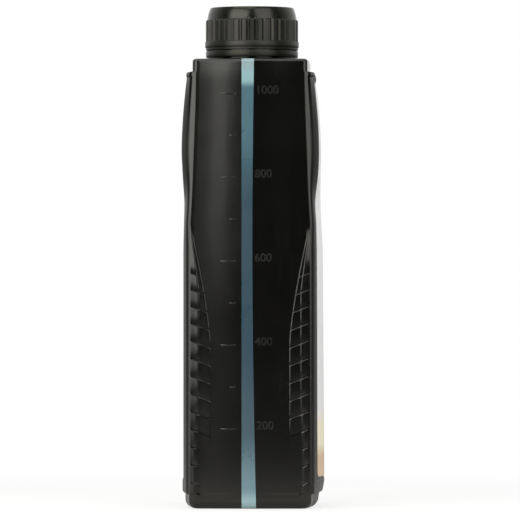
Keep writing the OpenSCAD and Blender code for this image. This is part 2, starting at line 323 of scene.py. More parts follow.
def turned(name: str, profile: Sequence[Step], around: int) -> Piece:
    """A turned piece: a circle that is extruded and resized along a profile.

    Args:
        name: the piece's name.
        profile: radius and height of each step, in millimetres.
        around: points round the circle.

    Returns:
        The new object, open at the profile's two ends.
    """
    radius, height = profile[0]
    deselect()
    bpy.ops.mesh.primitive_circle_add(vertices=around, radius=radius * MM,
                                      location=(0, 0, height * MM))
    obj = new_piece(name)
    settle(obj)
    with editing(obj):
        bpy.ops.mesh.select_mode(type="VERT")
        for next_radius, next_height in profile[1:]:
            bpy.ops.mesh.extrude_region_move(
                TRANSFORM_OT_translate={"value": (0, 0, (next_height - height) * MM)}
            )
            factor = next_radius / radius
            bpy.ops.transform.resize(value=(factor, factor, 1), center_override=(0, 0, 0))
            radius, height = next_radius, next_height
    return obj


def swept_ridge(name: str, root: float, crest: float, z: float, turns: float, root_w: float,
                pitch: float) -> Piece:
    """A screw thread wrapped round a wall, its ends sunk into the wall that carries it.

    Args:
        name: the piece's name.
        root: radius of the wall.
        crest: radius of the thread's crest.
        z: height of its lower end.
        turns: number of turns.
        root_w: width at the root.
        pitch: rise in one turn.

    Returns:
        The ridge.
    """
    per_turn, fade_steps, bury, chamfer = 72, 8, 0.3, 0.1
    sunk = bury if crest > root else -bury
    profile = [(root - sunk, -root_w / 2), (root, -root_w / 2 + chamfer), (crest, -root_w / 4),
               (crest, root_w / 4), (root, root_w / 2 - chamfer), (root - sunk, root_w / 2)]
    steps = round(turns * per_turn)
    rings = []
    for i in range(steps + 1):
        a = 2 * math.pi * i / per_turn
        t = ease(min(i, steps - i) / fade_steps)
        level = z + pitch * i / per_turn
        reach = [(mix(root - sunk, r, t), dz) for r, dz in profile]
        rings.append([(r * math.cos(a), r * math.sin(a), level + dz) for r, dz in reach])
    ridge = wrapped_sheet(name, rings)
    cap_open_ends(ridge)
    face_outwards(ridge)
    return ridge


def dress(obj: Piece, material: bpy.types.Material, body: Body) -> None:
    """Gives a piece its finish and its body.

    Args:
        obj: the piece.
        material: its finish.
        body: the body it rides on.
    """
    obj.data.materials.clear()
    obj.data.materials.append(material)
    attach(obj, body.value)


# Finishes


class Graph:
    """A short way to place and link shader nodes."""

    def __init__(self, tree: Tree) -> None:
        """Starts on a node tree."""
        self.tree = tree

    def put(self, socket: Socket, value: object) -> None:
        """Sets a socket's value, or links another socket to it.

        Args:
            socket: the input.
            value: a number, a colour or another node's output.
        """
        if isinstance(value, Socket):
            self.tree.links.new(value, socket)
        elif isinstance(value, tuple) and len(value) == 3 and socket.type == "RGBA":
            socket.default_value = (*value, 1.0)
        else:
            socket.default_value = value

    def node(self, kind: str, **inputs: object) -> Node:
        """Adds a node and sets or links its inputs.

        Args:
            kind: the node's type, without the ShaderNode prefix.
            inputs: input name, with spaces as underscores, to a value or a socket.

        Returns:
            The node.
        """
        made = self.tree.nodes.new("ShaderNode" + kind)
        for key, value in inputs.items():
            self.put(made.inputs[key.replace("_", " ")], value)
        return made

    def place(self, tree: Tree, **values: float) -> Node:
        """Places a node group with its own values.

        Args:
            tree: the group.
            values: input name, with spaces as underscores, to a value.

        Returns:
            The group node.
        """
        made = self.node("Group")
        made.node_tree = tree
        for key, value in values.items():
            self.put(made.inputs[key.replace("_", " ")], value)
        return made

    def operate(self, kind: str, operation: str, values: Sequence[object]) -> Node:
        """Adds a Math or a Vector Math node.

        Args:
            kind: Math or VectorMath.
            operation: what it does.
            values: a number, a vector or a socket for each input, in order.

        Returns:
            The node.
        """
        made = self.node(kind)
        made.operation = operation
        for socket, value in zip(made.inputs, values):
            self.put(socket, value)
        return made

    def math(self, operation: str, *values: object, clamp: bool = False) -> Socket:
        """A Math node's result.

        Args:
            operation: what it does.
            values: up to three numbers or sockets.
            clamp: True to hold the result between 0 and 1.

        Returns:
            The result's socket.
        """
        made = self.operate("Math", operation, values)
        made.use_clamp = clamp
        return made.outputs[0]

    def blend(self, factor: object, a: object, b: object) -> Socket:
        """A colour between two colours.

        Args:
            factor: 0 for the first, 1 for the second.
            a: the first colour.
            b: the second colour.

        Returns:
            The colour's socket.
        """
        made = self.node("Mix")
        made.data_type = "RGBA"
        self.put(made.inputs["Factor"], factor)
        self.put(made.inputs[6], a)
        self.put(made.inputs[7], b)
        return made.outputs[2]

    def span(self, value: object, low: float, high: float, out_low: float = 0.0,
             out_high: float = 1.0, smooth_step: bool = False) -> Socket:
        """A clamped Map Range.

        Args:
            value: the number to map.
            low: value at which the result is out_low.
            high: value at which the result is out_high.
            out_low: result at the low end.
            out_high: result at the high end.
            smooth_step: True for soft ends.

        Returns:
            The result's socket.
        """
        made = self.node("MapRange")
        made.interpolation_type = "SMOOTHSTEP" if smooth_step else "LINEAR"
        self.put(made.inputs[0], value)
        for socket, number in zip(list(made.inputs)[1:5], (low, high, out_low, out_high)):
            socket.default_value = number
        return made.outputs[0]

    def noise(self, vector: object, scale: object, detail: float = 2.0, roughness: float = 0.5,
              distortion: float = 0.0) -> Socket:
        """A Noise Texture's value.

        Args:
            vector: the place it is read at.
            scale: how many lumps go into a metre.
            detail: octaves.
            roughness: weight of the finer octaves.
            distortion: how far the lumps are drawn out of shape.

        Returns:
            The value's socket.
        """
        return self.node("TexNoise", Vector=vector, Scale=scale, Detail=detail,
                         Roughness=roughness, Distortion=distortion).outputs[0]

    def on_object(self) -> Socket:
        """The place on the piece, in metres."""
        return self.node("TexCoord").outputs["Object"]

    def axes(self, vector: Socket) -> bpy.types.NodeOutputs:
        """The X, Y and Z outputs of a vector."""
        return self.node("SeparateXYZ", Vector=vector).outputs


def group(name: str, inputs: dict[str, float], outputs: Sequence[str]
          ) -> tuple[Tree, Graph, bpy.types.NodeOutputs, bpy.types.NodeInputs]:
    """Starts a shader node group with named number sockets.

    Args:
        name: the group's name.
        inputs: name and default of each input.
        outputs: name of each output.

    Returns:
        The group, its graph, the sockets that it reads and the sockets that it fills.
    """
    tree = bpy.data.node_groups.new(name, "ShaderNodeTree")
    for label, default in inputs.items():
        socket = tree.interface.new_socket(label, in_out="INPUT", socket_type="NodeSocketFloat")
        socket.default_value = default
    for label in outputs:
        tree.interface.new_socket(label, in_out="OUTPUT", socket_type="NodeSocketFloat")
    read = tree.nodes.new("NodeGroupInput").outputs
    return tree, Graph(tree), read, tree.nodes.new("NodeGroupOutput").inputs


class SharedEffects:
    """Node groups that more than one finish uses, each made at its first use."""

    @cached_property
    def grain(self) -> Tree:
        """Fine grain and slow waviness of a moulded skin.

        Returns:
            The group, which puts out a height and a roughness offset.
        """
        tree, g, read, fill = group("mould_grain", {"Grain size": 0.6, "Grain": 0.5, "Wave": 0.5},
                                    ("Height", "Roughness shift"))
        where = g.on_object()
        fine = g.noise(where, g.math("DIVIDE", 1000.0, read["Grain size"]), 3.0, 0.6)
        wave = g.noise(where, 38.0, 1.0, 0.4)
        cloud = g.noise(where, 70.0, 4.0, 0.6)
        fine_part = g.math("MULTIPLY", g.math("SUBTRACT", fine, 0.5), read["Grain"])
        wave_part = g.math("MULTIPLY", g.math("SUBTRACT", wave, 0.5), read["Wave"])
        g.put(fill["Height"], g.math("ADD", fine_part, wave_part))
        g.put(fill["Roughness shift"], g.span(cloud, 0.35, 0.65, -0.5, 0.5))
        return tree

    @cached_property
    def wear(self) -> Tree:
        """Rub marks and hairline scratches from handling.

        Returns:
            The group, which puts out a mask of each, from 0 to 1.
        """
        tree, g, read, fill = group("handling_wear", {"Amount": 0.3, "Stretch": 6.0},
                                    ("Mask", "Scratch"))
        where = g.on_object()
        scale = g.node("CombineXYZ", X=read["Stretch"], Y=read["Stretch"], Z=1.0).outputs[0]
        drawn = g.operate("VectorMath", "MULTIPLY", (where, scale)).outputs[0]
        rub = g.noise(drawn, 42.0, 6.0, 0.7, 0.4)
        patch = g.noise(where, 24.0, 2.0, 0.5)
        handled = g.span(patch, 0.45, 0.65, smooth_step=True)
        rubbed = g.math("MULTIPLY", g.span(rub, 0.52, 0.72), handled)
        hair = g.math("ABSOLUTE", g.math("SUBTRACT", g.noise(drawn, 260.0, 2.0, 0.4, 2.5), 0.5))
        scratch = g.math("MULTIPLY", g.span(hair, 0.0, 0.006, 1.0, 0.0), g.span(patch, 0.5, 0.7))
        g.put(fill["Mask"], g.math("MULTIPLY", rubbed, read["Amount"]))
        g.put(fill["Scratch"], g.math("MULTIPLY", scratch, read["Amount"]))
        return tree

    @cached_property
    def dust(self) -> Tree:
        """Dust that settles on upward faces and in scattered specks.

        Returns:
            The group, which puts out one mask from 0 to 1.
        """
        tree, g, read, fill = group("settled_dust", {"Amount": 0.2}, ("Mask",))
        where = g.on_object()
        up = g.axes(g.node("NewGeometry").outputs["Normal"])["Z"]
        cloud = g.noise(where, 120.0, 5.0, 0.65)
        settled = g.math("MULTIPLY", g.span(up, 0.5, 1.0), g.span(cloud, 0.35, 0.75))
        cells = g.node("TexVoronoi", Vector=where, Scale=170.0).outputs["Distance"]
        size = g.math("MULTIPLY", g.noise(where, 400.0), 0.075)
        either = g.math("MAXIMUM", settled, g.math("LESS_THAN", cells, size))
        g.put(fill["Mask"], g.math("MULTIPLY", either, read["Amount"]))
        return tree


def start_material(name: str) -> tuple[bpy.types.Material, Graph, Node]:
    """A material with an empty Principled BSDF.

    Args:
        name: the material's name.

    Returns:
        The material, its graph and its shader.
    """
    material = bpy.data.materials.new(name)
    material.use_nodes = True
    return material, Graph(material.node_tree), material.node_tree.nodes["Principled BSDF"]


@dataclass(frozen=True)
class Finish:
    """What every finish has: its name, its gloss and how deep its relief is."""

    name: str = "finish"
    roughness: float = 0.4
    specular: float = 0.5
    relief_mm: float = 0.01

    def material(self, shared: SharedEffects) -> bpy.types.Material:
        """Builds the material.

        Args:
            shared: the node groups it uses.

        Returns:
            The material.
        """
        material, g, shader = start_material(self.name)
        height = self.paint(g, shader, shared)
        bump = g.node("Bump", Strength=1.0, Distance=self.relief_mm * MM, Height=height)
        g.put(shader.inputs["Normal"], bump.outputs[0])
        shader.inputs["Specular IOR Level"].default_value = self.specular
        return material

    def paint(self, g: Graph, shader: Node, shared: SharedEffects) -> Socket:
        """Links the colour and the roughness; each finish has its own.

        Args:
            g: the material's graph.
            shader: its Principled BSDF.
            shared: the node groups it uses.

        Returns:
            The height of its relief.
        """
        raise NotImplementedError


@dataclass(frozen=True)
class SatinPlastic(Finish):
    """Black moulded plastic with a satin skin, duller past dull_span along dull_axis."""

    name: str = "satin_black"
    roughness: float = 0.36
    specular: float = 0.42
    relief_mm: float = 0.004
    colour: Colour = (0.0052, 0.0054, 0.0048)
    rubbed_colour: Colour = (0.02, 0.0205, 0.019)
    dust_colour: Colour = (0.22, 0.21, 0.19)
    tint: Colour = (1.0, 0.99, 0.93)
    roughness_range: float = 0.08
    rubbed_roughness: float = 0.18
    dust_roughness: float = 0.4
    grain_size: float = 0.55
    grain: float = 0.6
    wear_amount: float = 0.2
    dust_amount: float = 0.05
    dull_axis: str = "Y"
    dull_span: tuple[float, float] = (28.5, 30.5)
    dull_roughness: float = 0.0

    def paint(self, g: Graph, shader: Node, shared: SharedEffects) -> Socket:
        """Black with rub marks, scratches and dust.

        Args:
            g: the material's graph.
            shader: its Principled BSDF.
            shared: the node groups it uses.

        Returns:
            The height of its relief.
        """
        grain = g.place(shared.grain, Grain_size=self.grain_size, Grain=self.grain,
                        Wave=0.0).outputs
        wear = g.place(shared.wear, Amount=self.wear_amount).outputs
        dust = g.place(shared.dust, Amount=self.dust_amount).outputs["Mask"]
        worn = g.blend(wear["Mask"], self.colour, self.rubbed_colour)
        worn = g.blend(wear["Scratch"], worn, self.rubbed_colour)
        g.put(shader.inputs["Base Color"], g.blend(dust, worn, self.dust_colour))
        rough = g.math("MULTIPLY_ADD", grain["Roughness shift"], self.roughness_range,
                       self.roughness)
        rough = g.math("MULTIPLY_ADD", wear["Mask"], self.rubbed_roughness, rough)
        if self.dull_roughness:
            reach = g.math("ABSOLUTE", g.axes(g.on_object())[self.dull_axis])
            start, end = self.dull_span
            dull = g.span(reach, start * MM, end * MM, 0.0, self.dull_roughness)
            rough = g.math("ADD", rough, dull)
        g.put(shader.inputs["Roughness"],
              g.math("MULTIPLY_ADD", dust, self.dust_roughness, rough, clamp=True))
        shader.inputs["Specular Tint"].default_value = (*self.tint, 1.0)
        return grain["Height"]


@dataclass(frozen=True)
class StripPlastic(Finish):
    """Translucent natural plastic with dark oil behind it up to the filling line, painted paler
    towards the foot for the light of the white floor that comes in through its base.
    """

    name: str = "strip_natural"
    roughness: float = 0.3
    specular: float = 0.4
    relief_mm: float = 0.02
    fill_line: float = 203.5
    above_oil: Colour = (0.215, 0.30, 0.31)
    at_line: Colour = (0.20, 0.33, 0.34)
    below_line: Colour = (0.045, 0.105, 0.13)
    middle: Colour = (0.0185, 0.045, 0.064)
    # The three lowest tones grow paler towards the foot: painted light from the white floor, which
    # shines in through the strip's base.
    low: Colour = (0.036, 0.066, 0.083)
    floor_lit_near_foot: Colour = (0.105, 0.172, 0.198)
    foot: Colour = (0.21, 0.31, 0.325)
    scatter: float = 0.15
    scatter_mm: float = 1.2

    def paint(self, g: Graph, shader: Node, shared: SharedEffects) -> Socket:
        """A colour for each height, from the foot to the neck; the paler tones near the foot are
        painted floor light.

        Args:
            g: the material's graph.
            shader: its Principled BSDF.
            shared: the node groups it uses.

        Returns:
            The height of its relief.
        """
        cloud = g.noise(g.on_object(), 45.0, 1.0, 0.4)
        height = g.math("DIVIDE", g.axes(g.on_object())["Z"], MM)
        height = g.math("ADD", height, g.span(cloud, 0.3, 0.7, -0.5, 0.5))
        line = self.fill_line
        # Dark oil behind the strip up to the fill line; below 78 mm the colour is painted paler
        # towards the foot, for light from the floor.
        stops = [
            (3.0, self.foot), (10.5, self.floor_lit_near_foot), (38.0, self.low), (78.0, self.middle),
            (146.0, self.middle), (line - 20, self.below_line), (line - 2, self.below_line),
            (line + 2.5, self.at_line), (line + 5, self.at_line), (213.0, self.above_oil),
        ]
        colour: object = stops[0][1]
        for (low, _), (high, tone) in zip(stops, stops[1:]):
            colour = g.blend(g.span(height, low, high, smooth_step=True), colour, tone)
        grain = g.place(shared.grain, Grain_size=0.8, Grain=0.4, Wave=0.3).outputs
        g.put(shader.inputs["Base Color"], colour)
        g.put(shader.inputs["Roughness"],
              g.math("MULTIPLY_ADD", grain["Roughness shift"], 0.08, self.roughness))
        shader.inputs["Subsurface Weight"].default_value = self.scatter
        shader.inputs["Subsurface Scale"].default_value = self.scatter_mm * MM
        return grain["Height"]


@dataclass(frozen=True)
class PrintedFilm(Finish):
    """Label film: silver-white, through cream to tan near the foot."""

    name: str = "label_film"
    roughness: float = 0.38
    relief_mm: float = 0.01
    silver: Colour = (0.86, 0.87, 0.865)
    cream: Colour = (0.93, 0.86, 0.64)
    tan: Colour = (0.66, 0.46, 0.28)
    fibre_colour: Colour = (0.55, 0.56, 0.58)
    scratch_colour: Colour = (0.45, 0.45, 0.46)
    dust_colour: Colour = (0.4, 0.38, 0.34)
    cream_span: tuple[float, float] = (24.0, 32.0)
    silver_span: tuple[float, float] = (38.0, 50.0)

    def paint(self, g: Graph, shader: Node, shared: SharedEffects) -> Socket:
        """The print's tones with fibre, scratches and dust.

        Args:
            g: the material's graph.
            shader: its Principled BSDF.
            shared: the node groups it uses.

        Returns:
            The height of its relief.
        """
        place = g.on_object()
        height = g.math("DIVIDE", g.axes(place)["Z"], MM)
        tone = g.blend(g.span(height, *self.cream_span, smooth_step=True), self.tan, self.cream)
        tone = g.blend(g.span(height, *self.silver_span, smooth_step=True), tone, self.silver)
        fibre = g.noise(place, 900.0, 3.0, 0.6)
        tone = g.blend(g.span(fibre, 0.35, 0.65, 0.0, 0.12), tone, self.fibre_colour)
        wear = g.place(shared.wear, Amount=0.35).outputs
        dust = g.place(shared.dust, Amount=0.1).outputs["Mask"]
        worn = g.blend(wear["Scratch"], tone, self.scratch_colour)
        g.put(shader.inputs["Base Color"], g.blend(dust, worn, self.dust_colour))
        g.put(shader.inputs["Roughness"],
              g.math("MULTIPLY_ADD", wear["Mask"], 0.2, self.roughness))
        return fibre


@dataclass(frozen=True)
class FoamWad(Finish):
    """Pale foamed sealing wad."""

    name: str = "liner_foam"
    relief_mm: float = 0.05
    colour: Colour = (0.62, 0.60, 0.53)
    # Darker tone: painted shade in the pores, also used for the dust.
    pore_shade_and_dust_colour: Colour = (0.42, 0.40, 0.34)

    def paint(self, g: Graph, shader: Node, shared: SharedEffects) -> Socket:
        """Pale foam with painted shade in its pores, and a little dust in the same darker tone.

        Args:
            g: the material's graph.
            shader: its Principled BSDF.
            shared: the node groups it uses.

        Returns:
            The height of its relief.
        """
        cells = g.node("TexVoronoi", Vector=g.on_object(), Scale=2200.0).outputs["Distance"]
        dust = g.place(shared.dust, Amount=0.1).outputs["Mask"]
        # Painted shade: darker where the pores lie.
        tone = g.blend(g.span(cells, 0.1, 0.5), self.pore_shade_and_dust_colour, self.colour)
        g.put(shader.inputs["Base Color"], g.blend(dust, tone, self.pore_shade_and_dust_colour))
        g.put(shader.inputs["Roughness"], g.span(cells, 0.0, 0.6, 0.85, 0.6))
        return cells


BODY_BLACK = SatinPlastic("body_black", roughness=0.165, colour=(0.0014, 0.0014, 0.0012),
                          rubbed_colour=(0.006, 0.006, 0.0055), roughness_range=0.02,
                          dull_roughness=0.3)
# Ticks and numerals: a lighter black than the body's, a painted highlight for the light that
# catches the raised marks.
SCALE_PAINTED_HIGHLIGHT_BLACK = SatinPlastic("scale_painted_highlight_black", roughness=0.24, colour=(0.0050, 0.0052, 0.0050))
BAND_BLACK = SatinPlastic("band_black", roughness=0.36, specular=0.3,
                          colour=(0.0036, 0.0036, 0.0028), tint=(1.0, 0.99, 0.82),
                          wear_amount=0.3)
CAP_BLACK = replace(BAND_BLACK, name="cap_black", roughness=0.22, specular=0.36, grain_size=0.4,
                    wear_amount=0.35, dull_axis="Z", dull_span=(236.2, 235.6),
                    dull_roughness=0.17)


# The blow moulded body and its strip


@dataclass(frozen=True)
class Row:
    """One ring of the body's skin: its height in mm and how each feature shows there."""

    z: float
    inset: float = 0.0
    shoulder: float = 0.0
    pad: float = 0.0
    notch: float = 0.0
    sink: float = 0.0
    slant: float = 0.0
    rim: float = 0.0
    foot: float = 0.0


@dataclass(frozen=True)
class BodyForm:
    """The body's shape as a section at each height. Driving sizes in millimetres.

    The names start with what they shape: side_crown and swell the bow of the narrow sides and of
    the front, lip, ledge and shoulder the top edge, foot, stand and push the base, panel the sunk
    label panel, pad and notch the grips, lower and upper the two kinds of section below and
    above the waist, and strip the level strip.
    """

    height: float = 216.0
    width: float = 82.0
    depth: float = 61.2
    face_crown: float = 3.0
    side_crown: float = 0.9
    side_crown_top: float = 1.35
    side_crown_shoulder: float = 1.8
    front_swell: float = 1.8
    swell_keep: float = 0.65
    swell_start: float = 1.0
    swell_run: float = 14.0
    crown_run: float = 2.0
    wall: float = 1.3
    top_depth: float = 55.0
    waist_z: float = 146.0
    lobe_z: float = 172.0
    lip_z: float = 209.4
    lip_depth: float = 61.0
    lip_h: float = 2.4
    lip_edge: float = 1.1
    lip_flat: float = 1.3
    lip_droop: float = 0.25
    ledge_h: float = 0.6
    waist_dip: float = 0.5
    waist_shift: float = 2.0
    shoulder_r: float = 1.5
    shoulder_out: float = 0.8
    shoulder_bend: float = 2.0
    shoulder_soft: float = 1.7
    shoulder_rise: float = 0.6
    foot_h: float = 7.4
    foot_step: float = 1.4
    foot_under: float = 1.8
    foot_step_z: float = 0.9
    foot_step_run: float = 1.2
    foot_r: float = 3.6
    stand_w: float = 5.0
    push_up: float = 2.5
    push_run: float = 10.0
    push_rim: float = 0.8
    push_slope: float = 3.0
    panel_land: float = 8.0
    panel_sink: float = 0.4
    panel_z: float = 13.0
    panel_gap: float = 3.0
    pad_top: float = 137.0
    pad_full: float = 80.0
    pad_gap: float = 37.8
    pad_foot_gap: float = 48.4
    pad_end: float = 2.0
    pad_out: float = 0.5
    pad_curve: float = 1.35
    pad_fade: tuple[float, float] = (26.0, 56.0)
    pad_inner_share: float = 0.5
    pad_foot_share: float = 0.5
    pad_at_foot: tuple[float, float, float] = (0.3, 0.55, 0.75)
    notch_recovery: float = 3.0
    notch_z: float = 8.7
    notch_pitch: float = 8.5
    notch_count: int = 13
    notch_slant: float = 21.0
    notch_h: float = 0.45
    notch_lead: float = 0.3
    edge_run: float = 0.5
    rim_out: float = 0.35
    lower_power: float = 2.2
    upper_power: float = 13.0
    lower_bend: float = 2.0
    upper_bend: float = 1.7
    corner_fall: float = 1.7
    lip_fall: float = 1.8
    strip_w: float = 5.2
    strip_edge: float = 4.0
    strip_flare: float = 1.25
    strip_skew: float = 0.4
    strip_under: float = 1.0
    strip_reach: float = 3.0

    @property
    def panel_x(self) -> float:
        """Half the width of the sunk label panel."""
        return self.width / 2 - self.panel_land

    @property
    def panel_top(self) -> float:
        """Height of the sunk panel's upper edge."""
        return self.lip_z - self.panel_gap

    @property
    def last_notch(self) -> float:
        """Height of the highest notch."""
        return self.notch_z + (self.notch_count - 1) * self.notch_pitch

    def upper(self, z: float) -> float:
        """How far the section has changed to that of the upper panels."""
        return ease((z - self.waist_z) / (self.lobe_z - self.waist_z))

    def corner_y(self, z: float) -> float:
        """Half depth at the vertical corners."""
        taper = 1 - clip((z - self.pad_top) / (self.height - self.pad_top))
        return mix(self.top_depth / 2, self.depth / 2, taper**self.corner_fall)

    def panel_y(self, z: float) -> float:
        """Half depth at the middle of the wide faces.

        Args:
            z: the height.

        Returns:
            The half depth.
        """
        wide = self.depth / 2 + self.face_crown
        lobe = self.lobe_z - self.waist_z
        waist = ease(1 - abs(z - self.waist_z - self.waist_shift) / lobe)
        fall = clip((z - self.lobe_z) / (self.lip_z - self.lobe_z)) ** self.lip_fall
        return mix(wide - self.waist_dip * waist, self.lip_depth / 2, fall)

    def swell(self, z: float) -> float:
        """How far the front face swells out: most at the panel's foot, not at all at the lobe.

        Args:
            z: the height.

        Returns:
            The swell.
        """
        rise = self.front_swell * ease((z - self.swell_start) / self.swell_run)
        if z < self.last_notch:
            up = max(z - self.panel_z, 0) / (self.last_notch - self.panel_z)
            return rise * mix(1, self.swell_keep, up)
        gone = ease((z - self.last_notch) / (self.lobe_z - self.last_notch))
        return rise * self.swell_keep * (1 - gone)

    def side_out(self, z: float) -> float:
        """How far the narrow sides bow out: a little more above the pads and at the shoulder.

        Args:
            z: the height.

        Returns:
            The bow.
        """
        over_pads = ease((z - self.pad_full) / (self.waist_z - self.pad_full))
        low = mix(self.side_crown, self.side_crown_top, over_pads)
        top = self.height - self.panel_top + self.crown_run
        return mix(low, self.side_crown_shoulder, ease((z - self.panel_top + self.crown_run) / top))

    def pad_edge(self, z: float) -> float:
        """Half the distance between the grip pads of one narrow side."""
        run = clip((z - self.pad_full) / (self.pad_top - self.pad_full)) ** self.pad_curve
        return mix(self.pad_gap / 2, self.depth / 2 - self.pad_end, run)

    def pad_inner(self, z: float) -> float:
        """How much of the pads' inner part is left at a height."""
        start, full = self.pad_fade
        return ease((z - start) / (full - start))

    def section(self, row: Row, front: bool = False) -> "Section":
        """The section at a row, of the back half or the front half."""
        return Section(self, row, front)

    def strip_far(self, z: float) -> float:
        """The strip's curved edge.

        Args:
            z: the height.

        Returns:
            Its distance from the middle of the side.
        """
        t = (z + self.strip_under) / (self.height + self.strip_reach)
        bow = self.strip_flare * (1 - math.sin(math.pi * t))
        skew = self.strip_skew * self.strip_flare * (1 - 2 * t)
        return self.strip_edge - self.strip_w - bow - skew


@dataclass
class Section:
    """One quarter of the body's outline at a row, and the whole ring that it makes.

    The narrow side runs from its middle over the pad's edge (pad_y) and the pad's inner step
    (step_y) to the corner's bend (bend_y), and the wide face from the bend (bend_x) to its middle.
    """

    form: BodyForm
    row: Row
    front: bool = False
    side_cols: int = 6
    inner_cols: int = 4
    outer_cols: int = 5
    corner_cols: int = 10
    wide_cols: int = 13
    pad_start: float = 0.25
    corner_keep: float = 1.5
    step_places: tuple[float, float] = (0.3, 0.6)
    soft_step: float = 2.6
    step_share: float = 0.6
    bend_pull: float = 0.6
    notch_cuts: tuple[float, float, float] = (0.9, 0.88, 0.85)
    corner_pad: float = 0.5
    corner_cut: float = 0.12
    corner_fade: float = 1.6

    def __post_init__(self) -> None:
        """Works out the outline's main places."""
        f, row = self.form, self.row
        z = row.z
        drop = row.inset + row.foot * f.foot_step
        self.side = f.width / 2 - row.inset * mix(1, f.shoulder_soft, row.shoulder)
        self.corner_y = f.corner_y(z) - drop
        self.face_y = mix(f.panel_y(z), f.top_depth / 2 + f.shoulder_out, row.shoulder) - drop
        if self.front:
            self.face_y += f.swell(z)
        self.crown = f.side_out(z)
        self.corner_x = self.side - self.crown
        power = mix(f.lower_power, f.upper_power, f.upper(z))
        self.power = mix(power, f.lower_power, row.shoulder)
        bend = mix(f.lower_bend, f.upper_bend, f.upper(z))
        self.bend = mix(bend, f.shoulder_bend, row.shoulder)
        self.bend_y = self.corner_y - self.bend
        self.bend_x = self.corner_x - self.bend
        low = self.corner_y / (f.depth / 2)
        self.pad_y = min(f.pad_edge(z) * low, self.bend_y - self.corner_keep)
        near, far = (mix(self.pad_y + f.edge_run, self.bend_y, t) for t in self.step_places)
        self.step_y = min(max(f.pad_foot_gap / 2 * low, near), far)
        self.inner_left = f.pad_inner(z)
        self.outer = row.pad * f.pad_out * mix(f.pad_foot_share, 1, self.inner_left)
        self.hold = self.corner_pad * (1 - self.corner_cut * row.notch)
        self.lean = row.slant * math.tan(math.radians(f.notch_slant))

    def side_x(self, y: float) -> float:
        """Distance of the narrow side's skin from the axis at a depth y."""
        return self.side - self.crown * (1 - math.cos(math.pi * y / self.corner_y)) / 2

    def wide_y(self, x: float) -> float:
        """Depth of the wide face's skin at a distance x from its middle."""
        return mix(self.corner_y, self.face_y, 1 - min(abs(x) / self.corner_x, 1) ** self.power)

    def pad_points(self) -> list[Point]:
        """Points of the narrow side from the pad's edge to the corner's bend.

        Returns:
            The points. A notch cuts the pad's edge, its inner part and its outer part.
        """
        f, row, z = self.form, self.row, self.row.z
        at_edge, at_inner, at_outer = (1 - cut * row.notch for cut in self.notch_cuts)
        inner = row.pad * f.pad_out * f.pad_inner_share * self.inner_left
        run, pad, ledge, bend = f.edge_run, self.pad_y, self.step_y, self.bend_y
        step = min(mix(self.soft_step, run, self.inner_left), (bend - ledge) * self.step_share)
        stops = [(pad - self.pad_start, 0.0)]
        stops += [(pad + run * t, inner * at_edge * ease(t)) for t in QUARTERS]
        stops += [(mix(pad + run, ledge, t), inner * at_inner)
                  for t in spread(0, 1, self.inner_cols)[1:]]
        stops += [(ledge + step * t, mix(inner * at_outer, self.outer * at_outer, ease(t)))
                  for t in QUARTERS]
        stops += [(mix(ledge + step, bend, t), self.outer * mix(at_outer, self.hold, t))
                  for t in spread(0, 1, self.outer_cols)[1:]]
        return [(self.side_x(y) + lift, y, z + self.lean * max(y - pad, 0)) for y, lift in stops]

    def bend_points(self, lift: float) -> list[Point]:
        """Points of the corner's bend, a smooth curve between the two faces.

        Args:
            lift: how far the slanted rows have risen at the corner.

        Returns:
            The points.
        """
        a = (self.side_x(self.bend_y), self.bend_y)
        b = (self.bend_x, self.wide_y(self.bend_x))
        turn = math.sin(math.pi * self.bend_y / self.corner_y)
        slope_a = -self.crown * math.pi / 2 / self.corner_y * turn
        reach = (self.bend_x / self.corner_x) ** (self.power - 1)
        slope_b = -(self.face_y - self.corner_y) * self.power / self.corner_x * reach
        pull = self.bend_pull * self.bend
        corners = (a, (a[0] + pull * slope_a, a[1] + pull), (b[0] + pull, b[1] + pull * slope_b), b)
        level = self.outer * self.hold
        rim = self.row.rim * self.form.rim_out
        points = []
        for i in range(self.corner_cols):
            t = i / self.corner_cols
            w = ((1 - t) ** 3, 3 * t * (1 - t) ** 2, 3 * t * t * (1 - t), t**3)
            x, y = (sum(k * p[axis] for k, p in zip(w, corners)) for axis in (0, 1))
            left = level * (1 - ease(t * self.corner_fade))
            points.append((x + left, y + rim * ease(t), self.row.z + lift))
        return points

    def flank(self) -> list[Point]:
        """Points from the pad's edge round the corner to the middle of the wide face.

        Returns:
            The points.
        """
        f, row, z = self.form, self.row, self.row.z
        rim, sink = row.rim * f.rim_out, row.sink * f.panel_sink
        lift = self.lean * (self.bend_y - self.pad_y)
        edge = f.panel_x + f.edge_run
        points = self.pad_points() + self.bend_points(lift)
        for x, fade in ((self.bend_x, 1.0), (mix(self.bend_x, edge, 0.5), 0.5)):
            points.append((x, self.wide_y(x) + rim, z + lift * fade))
        for t in QUARTERS[:-1]:
            x = edge - f.edge_run * t
            points.append((x, self.wide_y(x) + rim - sink * ease(t), z))
        for i in range(self.wide_cols + 1):
            x = f.panel_x * (1 - i / self.wide_cols)
            points.append((x, self.wide_y(x) + rim - sink, z))
        return points

